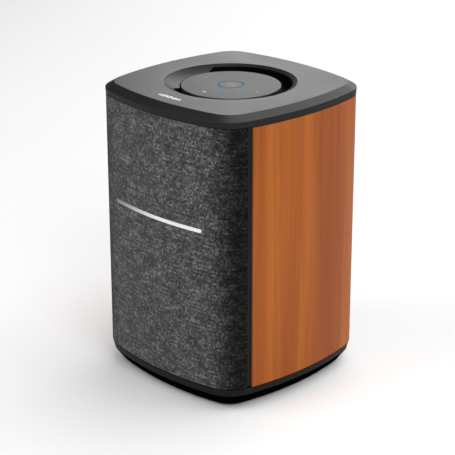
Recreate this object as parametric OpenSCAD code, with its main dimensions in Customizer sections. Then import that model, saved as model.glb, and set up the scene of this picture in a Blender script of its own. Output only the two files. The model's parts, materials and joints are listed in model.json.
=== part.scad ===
// Compact two-way smart speaker: fabric front, wooden cheeks, sunken touch disc.
// Millimetres. +Z is up, the fabric front faces -Y, and the feet stand on z = 0.

/* [Body] */
// Width and depth of the body, measured over the fabric and the wood
body_w = 139; // [137:0.5:141]
// Overall height from the floor to the top face
body_h = 200; // [199:0.5:202]
// Radius of the gentle bow of each side
side_r = 209; // [200:1:220]
// Radius of the vertical corners
corner_r = 22.4; // [21:0.2:24]

/* [Top cover] */
// Height of the top cover's edge band and chamfer together
cover_h = 7.4; // [7:0.1:8]
// Height of the sloping chamfer under the top face
chamfer_h = 3.4; // [3:0.05:3.6]
// How far the chamfer stands in from the body's side at the top face
chamfer_in = 5.5; // [5:0.1:6]
// How far the cover's widest line stands proud of the body
cover_lip = 0.3; // [0.1:0.05:0.6]

/* [Touch recess] */
// Radius of the recess where it meets the top face
dish_r = 43.4; // [43:0.1:43.8]
// Radius of the touch disc
disc_r = 33.2; // [32.8:0.1:33.4]
// Depth of the touch disc below the top face
disc_depth = 2.5; // [2.2:0.1:2.8]
// Outer radius of the arc slot around the disc
slot_r = 40.2; // [39.6:0.1:40.4]
// Direction of the solid bridge that closes the arc slot
bridge_angle = 199.5; // [180:0.5:225]

/* [Front] */
// Height of the light bar's centre line
bar_z = 123.1; // [122.8:0.1:123.4]
// Length of the light bar
bar_len = 81; // [70:1:84]
// Height of the light bar
bar_h = 2.5; // [2:0.1:2.6]
// Where the fabric ends on each side, measured forward of the centre
fabric_edge = 47.4; // [46.8:0.2:47.8]
// Height of the woofer's centre
woofer_z = 70; // [69.5:0.5:70.5]
// Height of the tweeter's centre
tweeter_z = 154.5; // [154.5:0.5:156]

/* [Motion] */
// Travel of the woofer cone each way
woofer_travel = 2.5; // [1:0.5:2.5]
// Travel of the stereo switch each way
switch_travel = 2.2; // [1.5:0.1:2.2]
// Travel of the pairing button
button_travel = 0.8; // [0.5:0.1:0.8]

/* [Base] */
// How far the base's bottom edge stands in from the body's side
base_in = 7.87; // [7:0.1:8.5]

/* [Hidden] */
$fn = 64;

half_w = body_w / 2;
side_c = side_r - half_w;
bow = acos(side_c / (sqrt(2) * (side_r - corner_r))) - 45;
corner_c = (side_r - corner_r) * sin(bow);
side_steps = 8;
corner_steps = 10;
eps = 0.1;

// Layers from the outside in, as insets from the outer surface
fabric_t = 0.9;
frame_in = 3.2;
skin_in = 5;
shell_in = 8;

// Heights of the main joints
cover_z = body_h - cover_h;
widest_z = body_h - chamfer_h;
disc_z = body_h - disc_depth;
base_top = 15.1;
body_z0 = 15.8;
cheek_z0 = base_top + 0.2;
body_z1 = cover_z - 0.6;
floor_z0 = 16;
floor_z1 = 20;
shell_z1 = cover_z - 0.4;
lid_z0 = cover_z - 11.6;
lid_z1 = lid_z0 + 3;
boss_z = body_h - 6.4;
cover_wall = 4;
cover_skin = 2.4;
post_r = 3.5;

// Base: the height of its underside, and the waist that its lower slope rises to
base_low = 1.5;
waist_z = 10;
waist_in = 1.5;
well_top = 8;
foot_r = 7;
foot_h = 2;

// Front: the baffle is flat, and local heights in driver modules grow towards the listener
baffle_y = 56;
baffle_t = 5;
baffle_back = baffle_y - baffle_t;
basket_hole_r = 43.6;
tweeter_hole_r = 20.6;
flange_t = 2.4;
woofer_bolt_r = 46;
tweeter_bolt_r = 24;
woofer_posts = [for (a = [45:90:315]) [woofer_bolt_r * cos(a), woofer_z + woofer_bolt_r * sin(a)]];
tweeter_posts = [for (a = [45:90:315]) [tweeter_bolt_r * cos(a), tweeter_z + tweeter_bolt_r * sin(a)]];

// Woofer motor: the top plate's two faces and the magnet's rear face, forward of the baffle
plate_z1 = -32;
plate_z0 = plate_z1 - 4;
magnet_z0 = plate_z0 - 14;

// Touch disc
disc_t = 2.2;
disc_gap = 0.4;
disc_rise = 0.5;
disc_bevel = 0.3;
boss_r = 45;
carrier_r = 29.5;
trough_in = 30;
trough_out = 42;
// The recess steepens outwards where its inner, flatter cone meets its outer one
dish_bend_r = 38.6;
dish_bend_z = body_h - 2.1;
bridge_half_in = 36;
bridge_half_out = 47;
inlay_t = 0.4;
ring_r = 8.3;
ring_w = 1.6;
icon_r = 24;
mark_bars = [2.2, 3, 3.8, 3, 3.8, 2.6, 3.4, 2.8, 2.2];
mark_pitch = 2.3;
mark_bar_w = 1.3;
mark_y = -54.1;
board_t = 1.6;
touch_board_z = disc_z - disc_t - board_t;

// Rear: a panel between the wooden cheeks
panel_half = 43.6;
cheek_half = 44;
panel_in = 1;
rear_past = 75;
panel_seat_y = 63.2;
trim_w = 3.4;
trim_in = 1.6;
inlet_z = 38;
port_z = 150;
port_bore = 13.5;
control_z = 86;
button_x = -14;
switch_x = 14;
knob_half = 2;
slot_half = knob_half + switch_travel + 0.3;
pin_gap = 8.6;
// Fully pressed, the button's stem ends just short of its switch's plunger
button_flange_y = 61.9;
tact_top_y = 57;
tact_rise = button_travel + 0.1;

// Boards stand upright in front of the rear wall
board_y = 46;
board_half = 42;
board_posts = [[-38, 34], [38, 34], [-38, 71], [38, 71], [-38, 85], [38, 85], [-38, 121], [38, 121]];
control_posts = [[-25, 86], [25, 86]];
panel_posts = [[-38, 24], [38, 24], [-38, 174], [38, 174]];
baffle_posts = [for (x = [-51.5, 51.5]) for (z = [48, 96, 128, 172]) [x, z]];
floor_posts = [[-50, 50], [50, 50], [-52, -46], [52, -46]];
cover_posts = [for (x = [-45, 45]) for (y = [-45, 45]) [x, y]];
base_posts = [[0, -44], [0, 44], [-44, 0], [44, 0]];
foot_posts = [for (x = [-38, 38]) for (y = [-38, 38]) [x, y]];
peg_posts = [for (x = [-49, 49]) for (z = [26, 183]) [x, z]];

graphite = [0.42, 0.42, 0.43];
charcoal = [0.12, 0.12, 0.13];
fabric_grey = [0.25, 0.25, 0.26];
wood_tone = [0.72, 0.42, 0.22];

function polar(r, a) = [r * cos(a), r * sin(a)];
function bow_y(inset, x) = sqrt(pow(side_r - inset, 2) - x * x) - side_c;

// One quarter of the outline: a bowed side and the corner that follows it
function quarter(inset) = concat(
    [for (i = [0:side_steps]) let (a = bow * (2 * i / side_steps - 1))
        [(side_r - inset) * cos(a) - side_c, (side_r - inset) * sin(a)]],
    [for (i = [1:corner_steps - 1]) let (a = bow + (90 - 2 * bow) * i / corner_steps)
        [corner_c + (corner_r - inset) * cos(a), corner_c + (corner_r - inset) * sin(a)]]
);
function turned(p, q) = [p[0] * cos(90 * q) - p[1] * sin(90 * q), p[0] * sin(90 * q) + p[1] * cos(90 * q)];
function outline(inset) = [for (q = [0:3]) for (p = quarter(inset)) turned(p, q)];

// A solid through outlines at several heights; each level is [inset, z]
module loft(levels) {
    n = len(outline(0));
    last = (len(levels) - 1) * n;
    points = [for (l = levels) for (p = outline(l[0])) [p[0], p[1], l[1]]];
    walls = [for (k = [0:len(levels) - 2]) for (i = [0:n - 1]) let (a = k * n + i, b = k * n + (i + 1) % n)
        each [[a, a + n, b], [b, a + n, b + n]]];
    ends = [[for (i = [0:n - 1]) i], [for (i = [0:n - 1]) last + n - 1 - i]];
    polyhedron(points = points, faces = concat(walls, ends), convexity = 4);
}

module slab(inset, z0, z1) translate([0, 0, z0]) linear_extrude(z1 - z0) polygon(outline(inset));

// An upright band between two insets, kept only inside x0..x1 and y0..y1
module band(in0, in1, z0, z1, x0 = -100, x1 = 100, y0 = -100, y1 = 100)
    translate([0, 0, z0]) linear_extrude(z1 - z0) intersection() {
        difference() {
            polygon(outline(in0));
            polygon(outline(in1));
        }
        translate([x0, y0]) square([x1 - x0, y1 - y0]);
    }

module plate(inset, z0, z1, y0 = -100, y1 = 100)
    translate([0, 0, z0]) linear_extrude(z1 - z0) intersection() {
        polygon(outline(inset));
        translate([-100, y0]) square([200, y1 - y0]);
    }

module box(x0, x1, y0, y1, z0, z1) translate([x0, y0, z0]) cube([x1 - x0, y1 - y0, z1 - z0]);
module post(p, r, z0, z1) translate([p[0], p[1], z0]) cylinder(r = r, h = z1 - z0);
// A round bar along Y, at p = [x, z]
module rod(p, r, y0, y1) translate([p[0], y0, p[1]]) rotate([-90, 0, 0]) cylinder(r = r, h = y1 - y0);
// Local +Z points out of the front, from the baffle's face
module forward(z) translate([0, -baffle_y, z]) rotate([90, 0, 0]) children();
module pipe(r0, r1, z0, z1) difference() {
    translate([0, 0, z0]) cylinder(r = r1, h = z1 - z0);
    translate([0, 0, z0 - 1]) cylinder(r = r0, h = z1 - z0 + 2);
}
module turn(profile) rotate_extrude($fn = 96) polygon(profile);

// A pan-head screw that points along +Y from its head, seated at y
module screw_y(p, y, head_r, head_h, shank_r, len_) {
    rod(p, shank_r, y - eps, y + len_);
    rod(p, head_r, y - head_h, y);
}
// The same, pointing up from its head, seated at z
module screw_up(p, z, head_r, head_h, shank_r, len_) {
    post(p, shank_r, z - eps, z + len_);
    post(p, head_r, z - head_h, z);
}

// ---------- top ----------

// The arc slot's solid bridge has ends that slant away from the disc; k runs along one end,
// from 0 at the disc to 1 at the slot's outer edge
function bridge_end(side, k) = let (
        inner = polar(disc_r, bridge_angle + side * bridge_half_in),
        outer = polar(slot_r, bridge_angle + side * bridge_half_out))
    inner + k * (outer - inner);
module bridge_plan() polygon([
    bridge_end(-1, -1), bridge_end(-1, 2), polar(60, bridge_angle), bridge_end(1, 2), bridge_end(1, -1)
]);

module arc_slot(z0, z1) difference() {
    pipe(disc_r - 1, slot_r, z0, z1);
    translate([0, 0, z0 - 1]) linear_extrude(z1 - z0 + 2) bridge_plan();
}

// A generic mark of rising and falling level bars
module mark_plan() for (i = [0:len(mark_bars) - 1])
    translate([(i - (len(mark_bars) - 1) / 2) * mark_pitch, mark_y])
        square([mark_bar_w, mark_bars[i]], center = true);

module top_cover() color(graphite) difference() {
    union() {
        difference() {
            loft([[0, cover_z], [-cover_lip, widest_z], [chamfer_in, body_h]]);
            slab(cover_wall, cover_z - 1, body_h - cover_skin);
        }
        band(skin_in + 0.1, shell_in - 0.1, cover_z, body_h - cover_skin + eps);
        post([0, 0], boss_r, boss_z, body_h - cover_skin + eps);
        for (p = cover_posts) post(p, post_r, lid_z1, body_h - cover_skin + eps);
    }
    turn([[0, boss_z - 1], [disc_r + disc_gap, boss_z - 1], [disc_r + disc_gap, disc_z - disc_rise],
        [dish_bend_r, dish_bend_z], [2 * dish_r - dish_bend_r, 2 * body_h - dish_bend_z],
        [0, 2 * body_h - dish_bend_z]]);
    arc_slot(boss_z - 1, body_h + 1);
    for (p = cover_posts) post(p, 1.2, lid_z1 - 1, lid_z1 + 10);
    translate([0, 0, body_h - inlay_t]) linear_extrude(1) mark_plan();
}

module front_mark() color("silver") translate([0, 0, body_h - inlay_t]) linear_extrude(inlay_t) mark_plan();

// Simple signs for less, more, back, forward, and start or stop in the middle
module arrow_plan() polygon([[-1.4, -1.5], [1.2, 0], [-1.4, 1.5]]);
module icon_plan() {
    translate([0, -icon_r]) square([3.2, 0.7], center = true);
    translate([0, icon_r]) {
        square([3.2, 0.7], center = true);
        square([0.7, 3.2], center = true);
    }
    for (s = [-1, 1]) translate([s * icon_r, 0]) mirror([s < 0 ? 1 : 0, 0]) {
        arrow_plan();
        translate([1.5, -1.5]) square([0.6, 3]);
    }
    translate([-1.2, 0]) arrow_plan();
    for (x = [0.9, 2.1]) translate([x, -1.5]) square([0.7, 3]);
}

module touch_disc() color(graphite) difference() {
    union() {
        translate([0, 0, disc_z - disc_t]) cylinder(r = disc_r, h = disc_t - disc_bevel);
        translate([0, 0, disc_z - disc_bevel]) cylinder(r1 = disc_r, r2 = disc_r - disc_bevel, h = disc_bevel);
    }
    pipe(ring_r - ring_w / 2, ring_r + ring_w / 2, disc_z - 1, disc_z + 1);
    translate([0, 0, disc_z - inlay_t]) linear_extrude(1) icon_plan();
}

module touch_icons() color("white") translate([0, 0, disc_z - inlay_t]) linear_extrude(inlay_t) icon_plan();

module light_ring() color("deepskyblue") pipe(ring_r - ring_w / 2, ring_r + ring_w / 2, disc_z - 1, disc_z);

module touch_board() color("darkgreen") post([0, 0], carrier_r, touch_board_z, touch_board_z + board_t);

module disc_carrier() color(charcoal) difference() {
    union() {
        post([0, 0], carrier_r, touch_board_z - 2, touch_board_z);
        post([0, 0], 12, lid_z1, touch_board_z - 1.9);
        for (a = [0:60:300]) rotate([0, 0, a]) box(11, 28, -0.8, 0.8, lid_z1 + 3, touch_board_z - 1.9);
    }
    post([0, 0], 10, lid_z1 - 1, touch_board_z - 3);
}

// A black trough that closes the slot from below
module slot_channel() color(charcoal) {
    wall = 1.5;
    z0 = boss_z - 5;
    difference() {
        pipe(trough_in, trough_out, z0, boss_z);
        pipe(trough_in + wall, trough_out - wall, z0 + wall, boss_z + 1);
        pipe(trough_in - 1, trough_in + wall + eps, touch_board_z - eps, boss_z + 1);
    }
}

module top_gasket() color("black") band(skin_in + 0.2, shell_in - 0.2, shell_z1, cover_z);

module acoustic_lid() color(charcoal) difference() {
    plate(shell_in + 0.1, lid_z0, lid_z1, -baffle_back + 0.1);
    for (p = cover_posts) post(p, 1.7, lid_z0 - 1, lid_z1 + 1);
    box(-9, 9, 37, 43, lid_z0 - 1, lid_z1 + 1);
}

// ---------- cabinet ----------

// Openings through the rear panel and the shell's rear wall
module rear_openings(y0, y1) {
    rod([0, port_z], 16.05, y0, y1);
    box(-12.1, 12.1, y0, y1, inlet_z - 7.6, inlet_z + 7.6);
}

module cabinet_shell() color(charcoal) difference() {
    union() {
        band(skin_in, shell_in, floor_z1, shell_z1, y0 = -baffle_back);
        band(shell_in - eps, shell_in + 2.5, lid_z0 - 2.5, lid_z0, y0 = -baffle_back);
        for (p = board_posts) rod(p, 3, board_y + board_t, bow_y(shell_in, p[0]) + 1);
        for (p = control_posts) rod(p, 2.6, 53.6, bow_y(shell_in, p[0]) + 1);
        for (p = panel_posts) rod(p, 3.2, 50, bow_y(shell_in, p[0]) + 1);
        for (p = baffle_posts) rod(p, post_r, -baffle_back, -38);
        for (p = floor_posts) post(p, 4.5, floor_z1, floor_z1 + 16);
    }
    rear_openings(58, 70);
    rod([button_x, control_z], 5.6, 58, 70);
    box(switch_x - slot_half - eps, switch_x + slot_half + eps, 58, 70, control_z - 2.3, control_z + 2.3);
    for (p = concat(board_posts, control_posts)) rod(p, 1.1, board_y, 57);
    for (p = panel_posts) rod(p, 1.25, 49, 70);
    for (p = baffle_posts) rod(p, 1.25, -baffle_back - 1, -39.5);
    for (p = floor_posts) post(p, 1.5, floor_z1 - 1, floor_z1 + 14);
}

module baffle_hole(p, r) rod(p, r, -baffle_y - 1, -baffle_back + 1);
module front_baffle() color(charcoal) difference() {
    plate(skin_in, floor_z1, shell_z1, -baffle_y, -baffle_back);
    baffle_hole([0, woofer_z], basket_hole_r);
    baffle_hole([0, tweeter_z], tweeter_hole_r);
    for (p = baffle_posts) baffle_hole(p, 1.6);
    for (p = peg_posts) baffle_hole(p, 3);
    for (p = concat(woofer_posts, tweeter_posts)) baffle_hole(p, 1.3);
    box(-3, 3, -baffle_y - 1, -baffle_back + 1, bar_z - 2, bar_z + 2);
}

module cabinet_screws() color("dimgray") {
    for (p = baffle_posts) screw_y(p, -baffle_y, 2.6, 1.2, 1.2, 14);
    for (p = floor_posts) screw_up(p, floor_z0 + 1.9, 3, 1.8, 1.45, 12);
    for (p = cover_posts) screw_up(p, lid_z0, 2.8, 1.7, 1.15, 11);
}

// ---------- front ----------

module bar_plan(grow) offset(r = bar_h / 2 + grow, $fn = 24)
    square([bar_len - bar_h, 0.01], center = true);
module bar_prism(grow, y0, y1)
    translate([0, y1, bar_z]) rotate([90, 0, 0]) linear_extrude(y1 - y0) bar_plan(grow);

module grille_windows() {
    pitch = 12;
    gap = 9.4;
    for (x = [-48:pitch:48]) for (z = [27:pitch:183])
        if (abs(z - bar_z) > 8 && !(abs(x) > 40 && (z < 33 || z > 176)))
            translate([x - gap / 2, -80, z - gap / 2]) cube([gap, 28, gap]);
}

module grille_frame() color("dimgray") difference() {
    union() {
        difference() {
            band(fabric_t, frame_in, body_z0, body_z1, y1 = -fabric_edge);
            grille_windows();
        }
        for (p = peg_posts) rod(p, 2, -bow_y(frame_in, p[0]) - 1.2, -53);
    }
    bar_prism(0.15, -80, -55);
}

module grille_fabric() color(fabric_grey) difference() {
    band(0, fabric_t, body_z0, body_z1, y1 = -fabric_edge);
    bar_prism(0.15, -80, -55);
}

module grille_grommets() color("black") for (p = peg_posts)
    translate([p[0], -56.8, p[1]]) rotate([-90, 0, 0]) {
        pipe(2.05, 2.95, 0.8, 4.6);
        pipe(2.05, 4.2, 0, 0.8);
    }

module light_bar() color("whitesmoke") intersection() {
    band(-0.35, frame_in + 0.2, bar_z - bar_h, bar_z + bar_h, -bar_len / 2, bar_len / 2, -100, 0);
    bar_prism(0, -80, -50);
}

module light_guide() color("lightcyan") intersection() {
    slab(frame_in + 0.2, bar_z - 0.9, bar_z + 0.9);
    box(-38, 38, -80, -60.4, 0, 200);
}

module light_board() color("darkgreen") {
    box(-38, 38, -58.8, -57.2, bar_z - 3, bar_z + 3);
    for (x = [-36:8:36]) box(x - 1.5, x + 1.5, -60.2, -58.8, bar_z - 1, bar_z + 1);
    box(-2.6, 2.6, -57.2, -52, bar_z - 1.6, bar_z + 1.6);
}

// ---------- sides and rear ----------

module wood_panel(side) color(wood_tone) mirror([side < 0 ? 1 : 0, 0, 0])
    band(0, skin_in, cheek_z0, body_z1, cheek_half, 100, trim_w - fabric_edge);
module wood_panel_left() wood_panel(-1);
module wood_panel_right() wood_panel(1);

module trim_strips() color("black") for (s = [0, 1]) mirror([s, 0, 0])
    band(trim_in, skin_in, body_z0, body_z1, 0, 100, -fabric_edge, trim_w - fabric_edge);

module rear_panel() color(charcoal) difference() {
    band(panel_in, skin_in, body_z0, body_z1, -panel_half, panel_half, 0);
    rear_openings(55, rear_past);
    rod([0, port_z], 19.1, 67, rear_past);
    box(-17.2, 17.2, 65.8, rear_past, inlet_z - 10.2, inlet_z + 10.2);
    rod([button_x, control_z], 4.08, 55, rear_past);
    box(switch_x - slot_half, switch_x + slot_half, 55, rear_past, control_z - 2.2, control_z + 2.2);
    for (p = panel_posts) {
        rod(p, 1.5, 55, rear_past);
        rod(p, 3, panel_seat_y, rear_past);
    }
}

module rear_panel_screws() color("dimgray") for (p = panel_posts) {
    rod(p, 1.2, 53, panel_seat_y + eps);
    difference() {
        rod(p, 2.8, panel_seat_y, panel_seat_y + 1.5);
        for (a = [0, 90]) translate([p[0], panel_seat_y + 1, p[1]]) rotate([0, a, 0])
            box(-1.7, 1.7, 0, 2, -0.3, 0.3);
    }
}

module pairing_button() color("dimgray") {
    rod([button_x, control_z], 4, button_flange_y, 69.4);
    rod([button_x, control_z], 5.2, button_flange_y, button_flange_y + 1.2);
    rod([button_x, control_z], 1.5, tact_top_y + tact_rise + button_travel + 0.1, button_flange_y + eps);
}

module stereo_switch() color("dimgray") {
    box(switch_x - knob_half, switch_x + knob_half, 60, 68.8, control_z - 1.9, control_z + 1.9);
    for (x = [-1.2, 0, 1.2])
        box(switch_x + x - 0.25, switch_x + x + 0.25, 68.8 - eps, 69.2, control_z - 1.9, control_z + 1.9);
}

module control_board() color("darkgreen") difference() {
    box(-29, 29, 52, 53.6, control_z - 8, control_z + 8);
    for (p = control_posts) rod(p, 1.4, 51, 55);
}

module rear_switches() color("silver") {
    box(button_x - 3, button_x + 3, 53.6, tact_top_y, control_z - 3, control_z + 3);
    rod([button_x, control_z], 1.6, tact_top_y - eps, tact_top_y + tact_rise);
    box(switch_x - 7, switch_x + 7, 53.6, 59.7, control_z - 3.5, control_z + 3.5);
}

module ac_inlet() color("black") difference() {
    union() {
        box(-12, 12, 49.8, 65.9, inlet_z - 7.5, inlet_z + 7.5);
        box(-17, 17, 65.8, 68, inlet_z - 10, inlet_z + 10);
    }
    for (s = [-1, 1]) rod([s * pin_gap / 2, inlet_z], 4.1, 53, 70);
    box(-pin_gap / 2, pin_gap / 2, 53, 70, inlet_z - 2.9, inlet_z + 2.9);
    for (s = [-1, 1]) rod([s * pin_gap / 2, inlet_z], 1.22, 48, 54);
}

module inlet_pins() color("gold") for (s = [-1, 1]) {
    rod([s * pin_gap / 2, inlet_z], 1.18, board_y + board_t, 64.5);
    translate([s * pin_gap / 2, 64.5, inlet_z]) rotate([-90, 0, 0]) cylinder(r1 = 1.18, r2 = 0.5, h = 0.7);
}

// Reflex port with a rounded mouth at both ends
module port_tube() color("black") translate([0, 12, port_z]) rotate([-90, 0, 0]) {
    len_ = 57;
    lip = 2.4;
    steps = 5;
    mouth = [for (i = [0:steps]) let (a = 90 * i / steps)
        [port_bore + lip - lip * sin(a), lip - lip * cos(a)]];
    turn(concat(mouth, [for (i = [steps:-1:0]) [mouth[i][0], len_ - mouth[i][1]]],
        [[19, len_], [19, len_ - 2], [16, len_ - 2], [16, 0]]));
}

// ---------- base ----------

module cabinet_floor() color(charcoal) difference() {
    union() {
        slab(skin_in, floor_z0, floor_z1);
        for (p = base_posts) post(p, 4, floor_z1 - eps, floor_z1 + 6);
    }
    for (p = base_posts) post(p, 1.55, floor_z0 - 1, floor_z1 + 4);
    for (p = floor_posts) {
        post(p, 1.6, floor_z0 - 1, floor_z1 + 1);
        post(p, 3.2, floor_z0 - 1, floor_z0 + 1.9);
    }
}

module base_gasket() color("black") band(6, 9, base_top, floor_z0);

module base_cover() color(charcoal) difference() {
    union() {
        difference() {
            loft([[base_in, base_low], [waist_in, waist_z], [0.3, base_top]]);
            slab(11, 4, base_top + 1);
        }
        for (p = base_posts) post(p, 5.2, 3.9, base_top);
    }
    for (p = base_posts) {
        post(p, 3.5, 0, well_top);
        post(p, 1.7, well_top - 1, base_top + 1);
    }
    for (p = foot_posts) post(p, foot_r + 0.1, 0, foot_h);
}

module base_screws() color("dimgray") for (p = base_posts) difference() {
    screw_up(p, well_top, 3.2, 2, 1.5, 15);
    for (a = [0, 90]) translate([p[0], p[1], well_top - 3]) rotate([0, 0, a]) box(-2, 2, -0.4, 0.4, 0, 2.2);
}

module rubber_feet() color("black") for (p = foot_posts) translate([p[0], p[1], 0]) {
    bevel = 0.6;
    cylinder(r1 = foot_r - bevel, r2 = foot_r, h = bevel);
    translate([0, 0, bevel]) cylinder(r = foot_r, h = foot_h - bevel);
}

// ---------- woofer; heights are measured forward of the baffle ----------

module woofer_basket() color("dimgray") forward(woofer_z) difference() {
    turn([[49, 0.8], [49, flange_t], [41.5, flange_t], [41.5, 1], [33.8, -19.4], [28.6, -19.4], [25.4, -30],
        [14, -30], [14, -32], [27, -32], [30, -21], [35, -21], [43.2, 0.8]]);
    for (a = [0:60:300]) rotate([0, 0, a]) {
        translate([30, -7, -18.6]) cube([20, 14, 15]);
        translate([22, -6, -29]) cube([20, 12, 7]);
    }
    for (a = [45:90:315]) rotate([0, 0, a]) translate([woofer_bolt_r, 0, 0]) cylinder(r = 1.7, h = 4);
}

module woofer_gasket() color("black") forward(woofer_z) difference() {
    pipe(43.7, 49, 0, 0.8);
    for (a = [45:90:315]) rotate([0, 0, a]) translate([woofer_bolt_r, 0, -1]) cylinder(r = 1.8, h = 4);
}

// Half-roll surround between the cone's rim and the basket's front
module woofer_surround() color("black") forward(woofer_z) {
    roll_c = 38.9;
    roll_r = 2.5;
    skin = 0.5;
    steps = 10;
    turn(concat(
        [[34.6, 2.9], [roll_c - roll_r, 2.9]],
        [for (i = [1:steps - 1]) let (a = 180 - 180 * i / steps)
            [roll_c + roll_r * cos(a), 2.9 + roll_r * sin(a)]],
        [[roll_c + roll_r, 2.9], [43.3, 2.9], [43.3, 2.4], [roll_c + roll_r - skin, 2.4]],
        [for (i = [1:steps - 1]) let (a = 180 * i / steps)
            [roll_c + (roll_r - skin) * cos(a), 2.4 + (roll_r - skin) * sin(a)]],
        [[roll_c - roll_r + skin, 2.4], [34.6, 2.4]]
    ));
}

module woofer_cone() color([0.15, 0.15, 0.16]) forward(woofer_z)
    turn([[36, 2.4], [34, 2.4], [12.95, -17.6], [12.95, -18.6], [13.6, -18.6], [34.6, 1.4], [36, 1.4]]);

module woofer_dust_cap() color([0.1, 0.1, 0.11]) forward(woofer_z) {
    base_r = 16;
    rise = 4.5;
    wall = 0.5;
    base_h = -14.5;
    cap_r = (base_r * base_r + rise * rise) / (2 * rise);
    span = asin(base_r / cap_r);
    steps = 8;
    turn(concat(
        [for (i = [0:steps]) let (a = span * i / steps)
            [cap_r * sin(a), base_h + rise - cap_r + cap_r * cos(a)]],
        [for (i = [steps:-1:0]) let (a = span * i / steps)
            [max(0, (cap_r - wall) * sin(a)), base_h + rise - cap_r + (cap_r - wall) * cos(a)]]
    ));
}

module woofer_coil() color("peru") forward(woofer_z) {
    overhang = woofer_travel + 1.5;
    pipe(12.45, 12.6, plate_z0 - overhang, -17.8);
    pipe(12.6, 12.8, plate_z0 - overhang, plate_z1 + overhang);
}

// Corrugated centring disc
module woofer_spider() color("goldenrod") forward(woofer_z) {
    r0 = 12.65;
    r1 = 28.2;
    rim_r = 33;
    top = -18.9;
    skin = 0.4;
    waves = 4;
    steps = 24;
    wave = [for (i = [0:steps]) let (u = i / steps)
        [r0 + (r1 - r0) * u, top + 0.8 * sin(360 * waves * u) * sin(180 * u)]];
    turn(concat(wave, [[rim_r, top], [rim_r, top - skin]], [for (i = [steps:-1:0]) wave[i] - [0, skin]]));
}

module woofer_top_plate() color("silver") forward(woofer_z) pipe(13.1, 36, plate_z0, plate_z1);
module woofer_magnet() color([0.2, 0.2, 0.2]) forward(woofer_z) pipe(17, 38, magnet_z0, plate_z0);
module woofer_yoke() color("silver") forward(woofer_z) difference() {
    union() {
        translate([0, 0, magnet_z0 - 5]) cylinder(r = 36, h = 5);
        translate([0, 0, magnet_z0 - eps]) cylinder(r = 12.2, h = plate_z1 - magnet_z0 + 0.6);
    }
    translate([0, 0, magnet_z0 - 6]) cylinder(r = 3, h = 30);
}

module driver_screws() color("dimgray") {
    for (p = concat(woofer_posts, tweeter_posts)) screw_y(p, -baffle_y - flange_t, 2.4, 1.4, 1.25, 10);
}

// ---------- tweeter ----------

module tweeter_faceplate() color(charcoal) forward(tweeter_z) difference() {
    turn([[27.5, 0], [27.5, flange_t], [20, flange_t], [17.5, 1.9], [15.4, 0.9], [14.6, 0.2], [14.6, 0],
        [16.5, 0], [16.5, -0.6], [20, -0.6], [20, 0]]);
    for (a = [45:90:315]) rotate([0, 0, a]) translate([tweeter_bolt_r, 0, -1]) cylinder(r = 1.6, h = 5);
}

// Soft dome with its rim and coil in one piece
module tweeter_dome() color("lightgray") forward(tweeter_z) {
    dome_r = 12.75;
    rise = 4.2;
    wall = 0.3;
    cap_r = (dome_r * dome_r + rise * rise) / (2 * rise);
    span = asin(dome_r / cap_r);
    steps = 8;
    top = 5;
    turn(concat(
        [for (i = [0:steps]) let (a = span * i / steps) [cap_r * sin(a), top - cap_r + cap_r * cos(a)]],
        [[dome_r, 0], [14.3, 0], [14.3, -0.2], [dome_r, -0.2], [dome_r, -3.6], [dome_r - wall, -3.6]],
        [for (i = [steps:-1:0]) let (a = span * i / steps)
            [max(0, (cap_r - wall) * sin(a)), top - cap_r + (cap_r - wall) * cos(a)]]
    ));
}

module tweeter_magnet() color([0.2, 0.2, 0.2]) forward(tweeter_z) pipe(14.5, 20, -11, -4);
module tweeter_yoke() color("silver") forward(tweeter_z) {
    pipe(13.05, 20, -4, -0.6);
    translate([0, 0, -14]) cylinder(r = 20, h = 3);
    translate([0, 0, -11.1]) cylinder(r = 12.1, h = 10.4);
}

// ---------- electronics ----------

module board_holes() for (p = board_posts) rod(p, 1.5, board_y - 1, board_y + board_t + 1);

module main_board() color("darkgreen") {
    difference() {
        box(-board_half, board_half, board_y, board_y + board_t, 80, 126);
        board_holes();
    }
    box(-25, -10, 44, board_y, 92, 106);
    for (x = [-30, -16, 8, 22]) box(x, x + 9, 40, board_y, 82, 88);
}

module power_board() color("darkgreen") {
    difference() {
        box(-board_half, board_half, board_y, board_y + board_t, 28, 76);
        board_holes();
    }
    box(-30, -22, 36, board_y, 66, 74);
    rod([28, 42], 6, 34, board_y);
}

module heat_sink() color("silver") {
    box(-29, -3, 41, 44, 90, 112);
    for (x = [-29:4.8:-5]) box(x, x + 1.6, 26, 41 + eps, 90, 112);
}

module wifi_module() color("gainsboro") {
    box(6, 34, 44.8, board_y, 94, 118);
    box(9, 31, 42, 44.8, 97, 114);
}

module capacitors() color("navy") for (p = [[8, 40], [8, 62], [27, 62]]) difference() {
    rod(p, 8, 18, board_y);
    for (a = [0, 60, 120]) translate([p[0], 18, p[1]]) rotate([0, a, 0]) box(-5, 5, -1, 0.3, -0.3, 0.3);
}

module transformer() color("khaki") {
    difference() {
        box(-34, -6, 20, board_y, 32, 62);
        box(-35, -5, 26, 40, 38, 56);
    }
    box(-32, -8, 26, 40, 38, 56);
}

module board_screws() color("dimgray") {
    for (p = board_posts) screw_y(p, board_y, 2.4, 1.5, 1.05, 8);
    for (p = control_posts) screw_y(p, 52, 2.2, 1.4, 1.05, 4.5);
}

// A smooth wire through chosen points
function spline(p, i, t) = let (
        a = p[max(i - 1, 0)], b = p[i], c = p[i + 1], d = p[min(i + 2, len(p) - 1)])
    0.5 * (2 * b + t * (c - a) + t * t * (2 * a - 5 * b + 4 * c - d) + t * t * t * (3 * b - a - 3 * c + d));
function path(p, n) = concat(
    [for (i = [0:len(p) - 2]) for (k = [0:n - 1]) spline(p, i, k / n)], [p[len(p) - 1]]);
function unit(v) = v / norm(v);

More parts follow.
